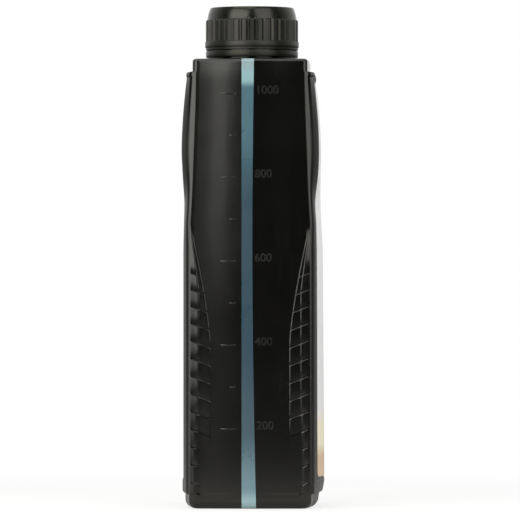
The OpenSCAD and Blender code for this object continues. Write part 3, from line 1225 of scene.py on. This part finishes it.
    def ring(self) -> list[Point]:
        """The whole ring, of which this section is the back half.

        Returns:
            The points, counterclockwise from the middle of the +X side.
        """
        f, z = self.form, self.row.z
        rear = self.flank()
        face = f.section(self.row, True).flank()
        start = self.pad_y - self.pad_start
        half_side = [(self.side_x(y), y, z) for y in spread(0, start, self.side_cols)]
        far = f.strip_far(z)
        ys = spread(start, f.strip_edge, 5)[1:] + spread(f.strip_edge, far, 6)
        ys += spread(far, -start, 5)
        strip_side = [(-self.side_x(y), y, z) for y in ys]
        return (
            half_side + rear
            + [(-x, y, h) for x, y, h in reversed(rear[:-1])]
            + strip_side
            + [(-x, -y, h) for x, y, h in face]
            + [(x, -y, h) for x, y, h in reversed(face[:-1])]
            + [(x, -y, h) for x, y, h in reversed(half_side[1:])]
        )


def towards_circle(ring: Iterable[Point], radius: float, z: float, t: float) -> list[Point]:
    """A ring part of the way to a circle round the axis.

    Args:
        ring: the ring it starts from.
        radius: the circle's radius.
        z: height of the result.
        t: 0 at the ring, 1 on the circle.

    Returns:
        The points.
    """
    made = []
    for x, y, _ in ring:
        reach = math.hypot(x, y)
        made.append((mix(x, x / reach * radius, t), mix(y, y / reach * radius, t), z))
    return made


@dataclass
class BottleBody:
    """The moulded body with its neck, and the level strip that runs down one narrow side."""

    form: BodyForm = field(default_factory=BodyForm)
    neck_d: float = 38.6
    neck_wall: float = 2.3
    neck_h: float = 23.0
    thread_d: float = 41.0
    thread_pitch: float = 5.0
    thread_turns: float = 1.5
    thread_root: float = 2.1
    thread_z: float = 225.8
    bead_d: float = 41.2
    bead_z: float = 218.7
    collar: float = 1.6
    strip_end_gap: float = 3.0
    strip_end_share: float = 0.98

    def outer_rows(self) -> list[Row]:
        """Rows of the outer skin.

        Returns:
            The rows, from the middle of the base up to the shoulder.
        """
        return self.foot_rows() + self.pad_rows() + self.shoulder_rows()

    def foot_rows(self) -> list[Row]:
        """Rows of the base, the standing ring and the foot.

        Returns:
            The rows, upwards.
        """
        f = self.form
        at_ring, at_side, at_step = f.pad_at_foot
        rise = f.foot_r + f.stand_w
        ramp = f.push_up * f.push_rim
        rows = [Row(f.push_up, rise + f.push_run, foot=1)]
        rows += [Row(ramp * (1 - ease(t)), rise + f.push_slope * (1 - t), foot=1)
                 for t in QUARTERS]
        rows += [Row(0, mix(rise, f.foot_r, t), foot=1) for t in (0.5, 1)]
        for i in range(1, 9):
            a = math.radians(90 * i / 8)
            rows.append(Row(f.foot_r * (1 - math.cos(a)), f.foot_r * (1 - math.sin(a)), foot=1,
                            pad=at_ring * i / 8))
        rows.append(Row(f.foot_h - f.foot_under, foot=1, pad=at_side))
        rows += [Row(f.foot_h - f.foot_step_z + f.foot_step_run * t, foot=1 - ease(t),
                     pad=mix(at_step, 1, t)) for t in FIFTHS]
        return rows

    def pad_rows(self) -> list[Row]:
        """Rows of the grip pads with their notches, up to where they run out.

        Returns:
            The rows, upwards.
        """
        f = self.form
        rows = self.notch_rows(0, 0.0) + [Row(f.panel_z, pad=1)]
        rows += [Row(f.panel_z + f.edge_run * t, pad=1, sink=ease(t)) for t in QUARTERS[1:]]
        for i in range(1, f.notch_count):
            rows += self.notch_rows(i, 1.0)
        last = rows[-1].notch
        for i in range(1, 17):
            t = i / 16
            notch = last * (1 - min(t / 0.35, 1)) ** f.notch_recovery
            rows.append(Row(mix(f.last_notch + f.notch_h, f.pad_top, t), pad=1 - ease(2 * t - 1),
                            notch=notch, sink=1, slant=1 - t))
        return rows

    def shoulder_rows(self) -> list[Row]:
        """Rows of the upper panels, the lip, the ledge over it and the shoulder's round.

        Returns:
            The rows, upwards.
        """
        f = self.form
        top, ledge = f.panel_top, f.lip_z + f.ledge_h
        rows = [Row(mix(f.pad_top, top, i / 44), sink=1) for i in range(1, 45)]
        rows += [Row(top + f.edge_run * t, sink=1 - ease(t)) for t in QUARTERS[1:]]
        rows += [Row(f.lip_z - f.lip_h + f.lip_edge * t, rim=ease(t)) for t in QUARTERS]
        rows += [Row(f.lip_z - f.lip_flat + f.lip_flat * t, rim=1 - f.lip_droop * t**3)
                 for t in (0.3, 0.6, 0.85, 1)]
        rows += [Row(f.lip_z + f.ledge_h * t, shoulder=ease(t),
                     rim=(1 - f.lip_droop) * (1 - ease(t))) for t in FIFTHS[1:]]
        rows += [Row(mix(ledge, f.height - f.shoulder_r, t), shoulder=1) for t in (0.1, 0.5, 0.9)]
        for i in range(13):
            a = math.radians(90 * i / 12)
            rows.append(Row(f.height - f.shoulder_r + f.shoulder_r * math.sin(a),
                            f.shoulder_r * (1 - math.cos(a)), 1))
        return rows

    def notch_rows(self, index: int, sink: float) -> list[Row]:
        """Rows of one notch's ledge and of the slope above it.

        Args:
            index: the notch, counted from the lowest.
            sink: how far the label panel is sunk here.

        Returns:
            The rows, upwards.
        """
        f = self.form
        z = f.notch_z + index * f.notch_pitch
        rows = [Row(z - f.notch_lead, pad=1, notch=0.02, sink=sink, slant=1)]
        rows += [Row(z + f.notch_h * t, pad=1, notch=ease(t), sink=sink, slant=1)
                 for t in (0, 0.33, 0.67, 1)]
        if index == f.notch_count - 1:
            return rows
        top = z + f.notch_pitch - f.notch_lead if index else f.panel_z
        rows += [Row(mix(z + f.notch_h, top, t), pad=1, notch=(1 - t) ** f.notch_recovery,
                     sink=sink, slant=1 if index else 1 - t) for t in (0.08, 0.2, 0.35, 0.55, 0.8)]
        return rows

    def inner_rows(self) -> list[Row]:
        """Rows of the inner skin.

        Returns:
            The rows, from the shoulder down to the middle of the base.
        """
        f = self.form
        rise = f.foot_r + f.stand_w
        skin = f.wall + f.panel_sink
        lip = f.lip_z - f.wall
        r = f.shoulder_r - f.wall / 2
        base = [(f.push_up + f.wall, rise + f.push_run - 1),
                (f.push_up * f.push_rim + f.wall, rise + 2.4), (f.wall + 0.1, rise - 0.6),
                (f.wall + 0.1, f.foot_r), (f.foot_r + 0.6, f.wall), (f.foot_h + 1, f.wall)]
        rows = [Row(z, inset, foot=1) for z, inset in base]
        heights = [f.foot_h + 2.6, f.panel_z + 3, f.pad_full, f.pad_top]
        heights += [mix(f.waist_z, f.lobe_z, t) for t in (0, 0.5, 1)]
        heights += [mix(f.lobe_z, f.lip_z, t) for t in (0.4, 0.75)]
        rows += [Row(z, skin) for z in heights + [lip - 1.5]]
        rows.append(Row(lip, f.wall + 0.2, 1))
        for a in (0, math.pi / 4, math.pi / 2):
            rows.append(Row(f.height - f.wall - r + r * math.sin(a),
                            f.wall + r * (1 - math.cos(a)), 1))
        return rows[::-1]

    def neck_profile(self) -> list[Step]:
        """Radius and height of each ring of the neck.

        Returns:
            The steps, up the outside, over the mouth and down the bore.
        """
        f = self.form
        r = self.neck_d / 2
        foot = f.height + f.shoulder_rise
        mouth = f.height + self.neck_h
        bore = r - self.neck_wall
        bead, bead_z = self.bead_d / 2, self.bead_z
        profile = [(r + self.collar * (1 - math.sin(a)) * 0.4, foot + 0.6 * (1 - math.cos(a)))
                   for a in (0, math.pi / 6, math.pi / 3, math.pi / 2)]
        profile += [(r, bead_z), (bead - 0.1, bead_z + 0.2), (bead, bead_z + 0.35),
                    (bead, bead_z + 0.8), (bead - 0.1, bead_z + 0.95), (r, bead_z + 1.8)]
        profile += [(r, mix(bead_z + 1.8, mouth - 0.4, t)) for t in (0.33, 0.66, 1)]
        profile += [(r - 0.12, mouth - 0.12), (r - 0.4, mouth), (mix(r, bore, 0.5), mouth),
                    (bore + 0.4, mouth), (bore + 0.12, mouth - 0.12), (bore, mouth - 0.4)]
        profile += [(bore, mix(mouth - 0.4, f.height - f.wall, t)) for t in (0.5, 0.9)]
        return profile

    def build_skin(self) -> Piece:
        """The whole closed skin: outside, neck and inside as one welded sheet.

        Returns:
            The skin, the strip still part of it.
        """
        f = self.form
        outer = [f.section(row).ring() for row in self.outer_rows()]
        inner = [f.section(row).ring() for row in self.inner_rows()]
        edge = outer[-1]
        collar_r = self.neck_d / 2 + self.collar
        shoulder = [towards_circle(edge, collar_r, f.height + f.shoulder_rise * ease(t), t)
                    for t in (0.08, 0.2, 0.35, 0.5, 0.65, 0.8, 0.92, 1)]
        neck = [towards_circle(edge, r, z, 1) for r, z in self.neck_profile()]
        bore = self.neck_d / 2 - self.neck_wall
        roof = [towards_circle(inner[0], bore + out, f.height - f.wall, 1) for out in (0.6, 6)]
        skin = wrapped_sheet("bottle_body", outer + shoulder + neck + roof + inner)
        cap_open_ends(skin)
        face_outwards(skin)
        return skin

    def cut_strip(self, skin: Piece) -> Piece:
        """Parts the level strip from the skin along the strip's own edges.

        Args:
            skin: the closed body skin.

        Returns:
            The strip's outer skin.
        """
        f = self.form
        reach = self.neck_d / 2 + self.collar + self.strip_end_gap

        def on_strip(centre: Vector, normal: Vector) -> bool:
            """Tells the strip's outer faces from the rest.

            Args:
                centre: the face's centre, in millimetres.
                normal: its normal.

            Returns:
                True for outer faces between the strip's edges.
            """
            if centre.x > -reach or centre.z > f.height + 0.7:
                return False
            share = self.strip_end_share if centre.z > f.height - 0.01 else 1.0
            inside = f.strip_far(centre.z) * share < centre.y < f.strip_edge * share
            on_top = centre.z > f.height - 1 and normal.z > 0.2
            below = centre.z < 4 and normal.z < -0.2
            return inside and (normal.x < -0.2 or on_top or below)

        select_faces(skin, on_strip)
        activate(skin)
        bpy.ops.object.mode_set(mode="EDIT")
        bpy.ops.mesh.select_mode(type="FACE")
        bpy.ops.mesh.separate(type="SELECTED")
        bpy.ops.object.mode_set(mode="OBJECT")
        strip = next(o for o in bpy.context.selected_objects if o != skin)
        strip.name = strip.data.name = "level_strip"
        return strip

    def build(self, shared: SharedEffects) -> list[Piece]:
        """Builds and dresses the body, its thread and the strip.

        Args:
            shared: the node groups that their finishes use.

        Returns:
            The pieces.
        """
        skin = self.build_skin()
        strip = self.cut_strip(skin)
        thread = swept_ridge("neck_thread", self.neck_d / 2, self.thread_d / 2, self.thread_z,
                             self.thread_turns, self.thread_root, self.thread_pitch)
        black = BODY_BLACK.material(shared)
        for piece in (skin, thread):
            dress(piece, black, Body.BOTTLE)
        dress(strip, StripPlastic().material(shared), Body.BOTTLE)
        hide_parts("bottle")
        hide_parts("sight_strip")
        smooth(skin, 50, weighted=True)
        smooth(strip, 50, weighted=True)
        smooth(thread, 40)
        return [skin, strip, thread]


# Level scale


@dataclass
class LevelScale:
    """Raised ticks and numerals beside the strip, one at every 200 ml."""

    form: BodyForm
    first_z: float = 38.3
    pitch: float = 40.2
    steps: int = 5
    step_ml: int = 200
    long_tick: float = 7.2
    short_tick: float = 2.9
    tick_gap: float = 2.9
    tick_w: float = 0.8
    out: float = 0.3
    edge: float = 0.14
    numeral_h: float = 4.1
    numeral_share: float = 0.73
    numeral_edge: float = 0.08
    numeral_gap: float = 1.0
    numeral_rise: float = 1.5
    numeral_half: float = 4.0

    def tick(self, index: int) -> Piece:
        """One raised tick: a long one at a numeral, a short one halfway.

        Args:
            index: the tick, counted from the lowest.

        Returns:
            The tick.
        """
        length = self.long_tick if index % 2 == 0 else self.short_tick
        z = self.first_z + index * self.pitch / 2
        y = self.form.strip_edge + self.tick_gap + length / 2
        skin = self.form.section(Row(z)).side_x(y)
        return block(f"tick_{index}", (-(skin + self.out - 0.5), y, z), (1, length, self.tick_w),
                     self.edge, 2)

    def numeral(self, index: int) -> Piece:
        """The raised numeral beside one long tick, on the strip's other side.

        Args:
            index: the numeral, counted from the lowest.

        Returns:
            The numeral, as a mesh.
        """
        z = self.first_z + index * self.pitch + self.numeral_rise
        y = self.form.strip_far(z) - self.numeral_gap
        skin = self.form.section(Row(z)).side_x(y - self.numeral_half)
        deselect()
        bpy.ops.object.text_add()
        obj = bpy.context.object
        obj.data.body = str(self.step_ml * (index + 1))
        obj.data.size = self.numeral_h / self.numeral_share * MM
        obj.data.align_x, obj.data.align_y = "LEFT", "CENTER"
        obj.data.extrude = self.out * MM
        obj.data.bevel_depth = self.numeral_edge * MM
        obj.data.resolution_u = 4
        obj.rotation_euler = (math.pi / 2, 0, -math.pi / 2)
        obj.location = (-skin * MM, y * MM, z * MM)
        bpy.ops.object.convert(target="MESH")
        obj = new_piece(f"numeral_{self.step_ml * (index + 1)}")
        settle(obj)
        return obj

    def build(self, shared: SharedEffects) -> list[Piece]:
        """Builds and dresses the ticks and the numerals.

        Args:
            shared: the node groups that their finish uses.

        Returns:
            The pieces.
        """
        ticks = joined("level_ticks", [self.tick(i) for i in range(2 * self.steps - 1)])
        numerals = joined("level_numerals", [self.numeral(i) for i in range(self.steps)])
        # Their finish carries a painted highlight: a lighter black than the body's.
        finish = SCALE_PAINTED_HIGHLIGHT_BLACK.material(shared)
        for piece in (ticks, numerals):
            smooth(piece, 30)
            dress(piece, finish, Body.BOTTLE)
        return [ticks, numerals]


# Label


@dataclass
class FrontLabel:
    """The printed film that lies on the front panel."""

    form: BodyForm
    margin: float = 1.6
    bottom_gap: float = 2.0
    top_gap: float = 2.0
    thickness: float = 0.15
    lift: float = 0.05
    corner_r: float = 3.0
    half_cols: int = 12

    def outline_x(self, z: float, bottom: float, top: float) -> float:
        """Half width of the film, less in its rounded corners.

        Args:
            z: the height.
            bottom: height of the film's lower edge.
            top: height of its upper edge.

        Returns:
            The half width at that height.
        """
        half = self.form.panel_x - self.margin
        edge = min(z - bottom, top - z)
        if edge >= self.corner_r:
            return half
        drop = self.corner_r - edge
        return half - self.corner_r + math.sqrt(max(self.corner_r**2 - drop**2, 0))

    def ring(self, z: float, bottom: float, top: float) -> list[Point]:
        """Points across the film at one height, laid on the panel.

        Args:
            z: the height.
            bottom: height of the film's lower edge.
            top: height of its upper edge.

        Returns:
            The points, from -X to +X.
        """
        section = self.form.section(Row(z, sink=1), True)
        half = self.outline_x(z, bottom, top)
        lift = self.lift - self.form.panel_sink
        xs = [half * (i / self.half_cols - 1) for i in range(2 * self.half_cols + 1)]
        return [(x, -(section.wide_y(x) + lift), z) for x in xs]

    def build(self, shared: SharedEffects) -> list[Piece]:
        """Builds and dresses the film.

        Args:
            shared: the node groups that its finish uses.

        Returns:
            The film.
        """
        bottom = self.form.panel_z + self.bottom_gap
        top = self.form.panel_top - self.top_gap
        height = top - bottom
        steps = [0, 0.15, 0.5, 1.1, 2, 3] + spread(6, height - 6, 60)
        steps += [height - d for d in (6, 3, 2, 1.1, 0.5, 0.15, 0)]
        film = wrapped_sheet("front_label", [self.ring(bottom + s, bottom, top) for s in steps],
                             closed=False)
        apply_modifier(film, "SOLIDIFY", thickness=self.thickness * MM, offset=1.0)
        face_outwards(film)
        smooth(film, 40)
        dress(film, PrintedFilm().material(shared), Body.BOTTLE)
        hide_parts("front_label")
        return [film]


# Closure


@dataclass
class ScrewCap:
    """Ribbed screw cap with a sloping top edge and a plain lower band."""

    cap_d: float = 45.6
    rib_d: float = 44.9
    rib_depth: float = 0.75
    rib_count: int = 36
    slope_in: float = 1.9
    slope_h: float = 6.2
    band_h: float = 4.1
    bore_d: float = 41.8
    seat_r: float = 19.7
    mouth_z: float = 239.0
    wad_t: float = 1.2
    thread_turns: float = 1.2
    thread_clear: float = 0.3
    groove: tuple[float, ...] = (0, 0, 0, 0, 0, 0.6, 1, 1, 0.6, 0)

    def shell_profile(self, base: float, top: float) -> list[Step]:
        """Radius and height of each ring of the cap's skin, its edges rounded.

        Args:
            base: height of the skirt's lower edge.
            top: height of the flat top.

        Returns:
            The steps, from the top's middle down the outside and up the inside.
        """
        r = self.cap_d / 2
        rib_r = self.rib_d / 2
        core = rib_r - self.rib_depth
        flat = core - self.slope_in
        rib_z, rib_top = base + self.band_h, top - self.slope_h
        outside = [(flat * k, top) for k in (0.02, 0.3, 0.6, 0.85, 0.96)]
        outside += [(flat, top - 0.04), (flat + 0.35, top - 0.2), (flat + 0.6, top - 0.6)]
        outside += [(mix(flat + 0.6, core, t) + 0.25 * math.sin(math.pi * t),
                     mix(top - 0.6, rib_top, t)) for t in (0.2, 0.4, 0.6, 0.8, 0.95)]
        ribs = [(rib_r - 0.25, rib_top + 0.05), (rib_r, rib_top - 0.35)]
        ribs += [(rib_r, mix(rib_top, rib_z, t)) for t in (0.1, 0.3, 0.5, 0.7, 0.9, 0.97)]
        lower = [(rib_r, rib_z + 0.1), (r - 0.3, rib_z), (r - 0.08, rib_z - 0.1), (r, rib_z - 0.3),
                 (r, base + 1.6), (r - 0.05, base + 1.4), (r - 0.36, base + 1.15),
                 (r - 0.4, base + 1.0), (r - 0.4, base + 0.15), (r - 0.5, base)]
        bore = self.bore_d / 2
        roof_z = self.mouth_z + self.wad_t
        inside = [(bore + 0.3, base), (bore + 0.1, base + 0.25), (bore, base + 0.6),
                  (bore, rib_top - 3), (self.seat_r, rib_top), (self.seat_r, roof_z),
                  (self.seat_r * 0.5, roof_z), (self.seat_r * 0.02, roof_z)]
        return outside + ribs + lower + inside

    def build_shell(self) -> Piece:
        """The cap's shell, its ribs made by drawing the grooves inwards.

        Returns:
            The shell.
        """
        low, high = box_mm("cap")
        base, top = low.z, high.z
        per_rib = len(self.groove)
        around = self.rib_count * per_rib
        shell = turned("screw_cap", self.shell_profile(base, top), around)
        rib_z, rib_top = base + self.band_h, top - self.slope_h
        core = self.rib_d / 2 - self.rib_depth
        for vert in shell.data.vertices:
            x, y, z = vert.co / MM
            reach = math.hypot(x, y)
            if not (rib_z + 0.05 < z < rib_top + 0.2 and reach > self.rib_d / 2 - 0.4):
                continue
            turn = round(math.atan2(y, x) / (2 * math.pi) * around) % per_rib
            factor = mix(1.0, core / reach, self.groove[turn])
            vert.co.x *= factor
            vert.co.y *= factor
        cap_open_ends(shell)
        face_outwards(shell)
        return shell

    def build(self, shared: SharedEffects, body: BottleBody) -> list[Piece]:
        """Builds and dresses the cap and its inner thread.

        Args:
            shared: the node groups that their finish uses.
            body: the bottle, whose neck thread this one follows.

        Returns:
            The pieces.
        """
        shell = self.build_shell()
        start = body.thread_z - body.thread_root * 0.75 - self.thread_clear
        thread = swept_ridge("cap_thread", self.bore_d / 2, body.neck_d / 2 + self.thread_clear,
                             start, self.thread_turns, body.thread_root, body.thread_pitch)
        finish = CAP_BLACK.material(shared)
        for piece in (shell, thread):
            smooth(piece, 32)
            dress(piece, finish, Body.CAP)
        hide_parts("cap")
        return [shell, thread]


@dataclass
class SealingWad:
    """The foamed wad pressed between the mouth and the cap."""

    edge_r: float = 0.15

    def build(self, shared: SharedEffects) -> list[Piece]:
        """Builds and dresses the wad.

        Args:
            shared: the node groups that its finish uses.

        Returns:
            The wad.
        """
        low, high = box_mm("cap_liner")
        r, e = high.x, self.edge_r
        profile = [(0.4, low.z), (r * 0.5, low.z), (r - e, low.z), (r, low.z + e), (r, high.z - e),
                   (r - e, high.z), (r * 0.5, high.z), (0.4, high.z)]
        wad = turned("sealing_wad", profile, 96)
        cap_open_ends(wad)
        face_outwards(wad)
        smooth(wad, 40)
        dress(wad, FoamWad().material(shared), Body.LINER)
        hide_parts("cap_liner")
        return [wad]


@dataclass
class TamperBand:
    """The ring left round the neck, with the stubs of its bridges."""

    band_d: float = 44.8
    band_h: float = 3.2
    rise: float = 0.3
    inner_clear: float = 0.3
    edge_r: float = 0.3
    bridge_w: float = 1.0
    bridge_gap: float = 0.5
    bridges: int = 12

    def bridge(self, index: int, inner: float, low: float, high: float) -> Piece:
        """One stub of a broken bridge.

        Args:
            index: the bridge, counted round the band.
            inner: radius of the band's inside.
            low: height of the band's top, where the stub stands.
            high: height of the stub's top.

        Returns:
            The stub.
        """
        span = self.band_d / 2 - inner - self.bridge_gap
        stub = block(f"bridge_{index}", (inner + 0.1 + span / 2, 0, low + (high - low) / 2 - 0.1),
                     (span, self.bridge_w, high - low + 0.2), 0.1, 1)
        stub.rotation_euler.z = 2 * math.pi * index / self.bridges
        settle(stub)
        return stub

    def build(self, shared: SharedEffects, body: BottleBody) -> list[Piece]:
        """Builds and dresses the band and its bridges.

        Args:
            shared: the node groups that its finish uses.
            body: the bottle, whose neck the band goes round.

        Returns:
            The band.
        """
        low, high = box_mm("tamper_band")
        r, e, base = self.band_d / 2, self.edge_r, low.z + self.rise
        top = base + self.band_h
        bead = body.bead_d / 2 + self.inner_clear
        neck = body.neck_d / 2 + self.inner_clear
        profile = [(neck, base), (r - e, base), (r - 0.1, base + 0.1), (r, base + e), (r, top - e),
                   (r - 0.1, top - 0.1), (r - e, top), (bead, top), (bead, base + 1.0),
                   (neck, base + 0.7), (neck, base)]
        ring = turned("tamper_ring", profile, 144)
        face_outwards(ring)
        stubs = [self.bridge(i, bead, top, high.z) for i in range(self.bridges)]
        band = joined("tamper_band_ring", [ring] + stubs)
        smooth(band, 32)
        dress(band, BAND_BLACK.material(shared), Body.BOTTLE)
        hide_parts("tamper_band")
        return [band]


# Studio


@dataclass(frozen=True)
class Lamp:
    """One soft box, placed by its angles round the bottle."""

    name: str
    azimuth: float
    elevation: float
    distance: float
    size: tuple[float, float]
    power: float


@dataclass
class Studio:
    """White floor, white surroundings, soft boxes and the camera."""

    azimuth: float = -88.7
    camera_z: float = 0.1193
    camera_distance: float = 2.511
    focal: float = 357.0
    aim_right: float = 0.0039
    middle_z: float = 0.12
    floor_size: float = 12.0
    floor_near: Colour = (0.84, 0.825, 0.80)
    floor_far: Colour = (0.12, 0.12, 0.12)
    shadow_span: tuple[float, float] = (0.08, 0.4)
    shadow_glow: float = 0.8
    tone_span: tuple[float, float] = (0.12, 0.5)
    gloss_span: tuple[float, float] = (-0.35, 0.55)
    gloss_dark: float = 0.02
    lamps: tuple[Lamp, ...] = (
        Lamp("left_soft_box", -124.0, 13, 1.1, (0.95, 1.3), 16.5),
        Lamp("right_soft_box", -56.0, 24, 1.1, (0.8, 1.1), 7.5),
        Lamp("top_soft_box", -120, 72, 1.1, (0.9, 0.9), 6.0),
    )

    def direction(self, azimuth: float, elevation: float) -> Vector:
        """The unit vector towards a viewing angle, as the frame measures it."""
        a, e = math.radians(azimuth), math.radians(elevation)
        return Vector((math.sin(a) * math.cos(e), -math.cos(a) * math.cos(e), math.sin(e)))

    def add_lamps(self) -> None:
        """Adds the soft boxes, each facing the bottle's middle."""
        centre = Vector((0, 0, self.middle_z))
        for lamp in self.lamps:
            back = self.direction(lamp.azimuth, lamp.elevation)
            deselect()
            bpy.ops.object.light_add(type="AREA", location=centre + back * lamp.distance)
            obj = bpy.context.object
            obj.name = obj.data.name = lamp.name
            obj.data.shape = "RECTANGLE"
            obj.data.size, obj.data.size_y = lamp.size
            obj.data.energy = lamp.power
            obj.rotation_euler = back.to_track_quat("Z", "Y").to_euler()

    def add_floor(self) -> None:
        """Adds the white floor, which keeps the bottle's faint shadow near it."""
        deselect()
        bpy.ops.mesh.primitive_plane_add(size=self.floor_size, location=(0, 0, -0.0002))
        floor = new_piece("floor")
        material, g, shader = start_material("floor_white")
        shader.inputs["Roughness"].default_value = 0.8
        shader.inputs["Specular IOR Level"].default_value = 0.1
        away = g.operate("VectorMath", "LENGTH", (g.on_object(),)).outputs["Value"]
        far = g.span(away, *self.shadow_span, self.shadow_glow, 1.0, smooth_step=True)
        tone = g.span(away, *self.tone_span, smooth_step=True)
        g.put(shader.inputs["Base Color"], g.blend(tone, self.floor_near, self.floor_far))
        path = g.node("LightPath")
        seen = g.math("MAXIMUM", path.outputs["Is Camera Ray"], path.outputs["Is Transmission Ray"])
        glow = g.node("Emission", Color=(1.0, 1.0, 1.0), Strength=1.0)
        blend = g.node("MixShader", Fac=g.math("MULTIPLY", far, seen))
        g.put(blend.inputs[1], shader.outputs[0])
        g.put(blend.inputs[2], glow.outputs[0])
        g.put(g.tree.nodes["Material Output"].inputs["Surface"], blend.outputs[0])
        floor.data.materials.append(material)

    def add_world(self) -> None:
        """White surroundings for the camera, brighter behind the bottle than in front of it."""
        world = bpy.data.worlds.new("white_studio")
        bpy.context.scene.world = world
        world.use_nodes = True
        g = Graph(world.node_tree)
        back = world.node_tree.nodes["Background"]
        ray = g.axes(g.node("TexCoord").outputs["Generated"])
        glow = g.span(ray["X"], *self.gloss_span, self.gloss_dark, 1.0, smooth_step=True)
        path = g.node("LightPath")
        direct = g.math("MAXIMUM", path.outputs["Is Camera Ray"],
                        path.outputs["Is Transmission Ray"])
        level = g.math("ADD", direct, g.math("MULTIPLY", g.math("SUBTRACT", 1.0, direct), glow))
        back.inputs["Color"].default_value = (1, 1, 1, 1)
        g.put(back.inputs["Strength"], level)

    def add_camera(self) -> None:
        """Adds the camera at the photograph's viewing angle."""
        back = self.direction(self.azimuth, 0)
        right = Vector((0, 0, 1)).cross(back)
        height = Vector((0, 0, self.camera_z))
        location = back * self.camera_distance + right * self.aim_right + height
        turn = back.to_track_quat("Z", "Y").to_euler()
        deselect()
        bpy.ops.object.camera_add(location=location, rotation=turn)
        camera = bpy.context.object
        camera.data.lens = self.focal
        camera.data.sensor_width = 36.0
        camera.data.clip_end = 50
        bpy.context.scene.camera = camera

    def build(self) -> None:
        """Builds the studio and sets a plain view transform."""
        self.add_floor()
        self.add_world()
        self.add_lamps()
        self.add_camera()
        bpy.context.scene.view_settings.view_transform = "Standard"


def main() -> None:
    """Builds every sub-assembly in order and reports its pieces."""
    logging.basicConfig(level=logging.INFO, format="%(message)s")
    shared = SharedEffects()
    body = BottleBody()
    steps = {
        "body": lambda: body.build(shared),
        "level scale": lambda: LevelScale(body.form).build(shared),
        "front label": lambda: FrontLabel(body.form).build(shared),
        "screw cap": lambda: ScrewCap().build(shared, body),
        "sealing wad": lambda: SealingWad().build(shared),
        "tamper band": lambda: TamperBand().build(shared, body),
    }
    for title, make in steps.items():
        for piece in make():
            log.info("%s: %s, %d faces", title, piece.name, len(piece.data.polygons))
    Studio().build()


if __name__ == "__main__":
    main()
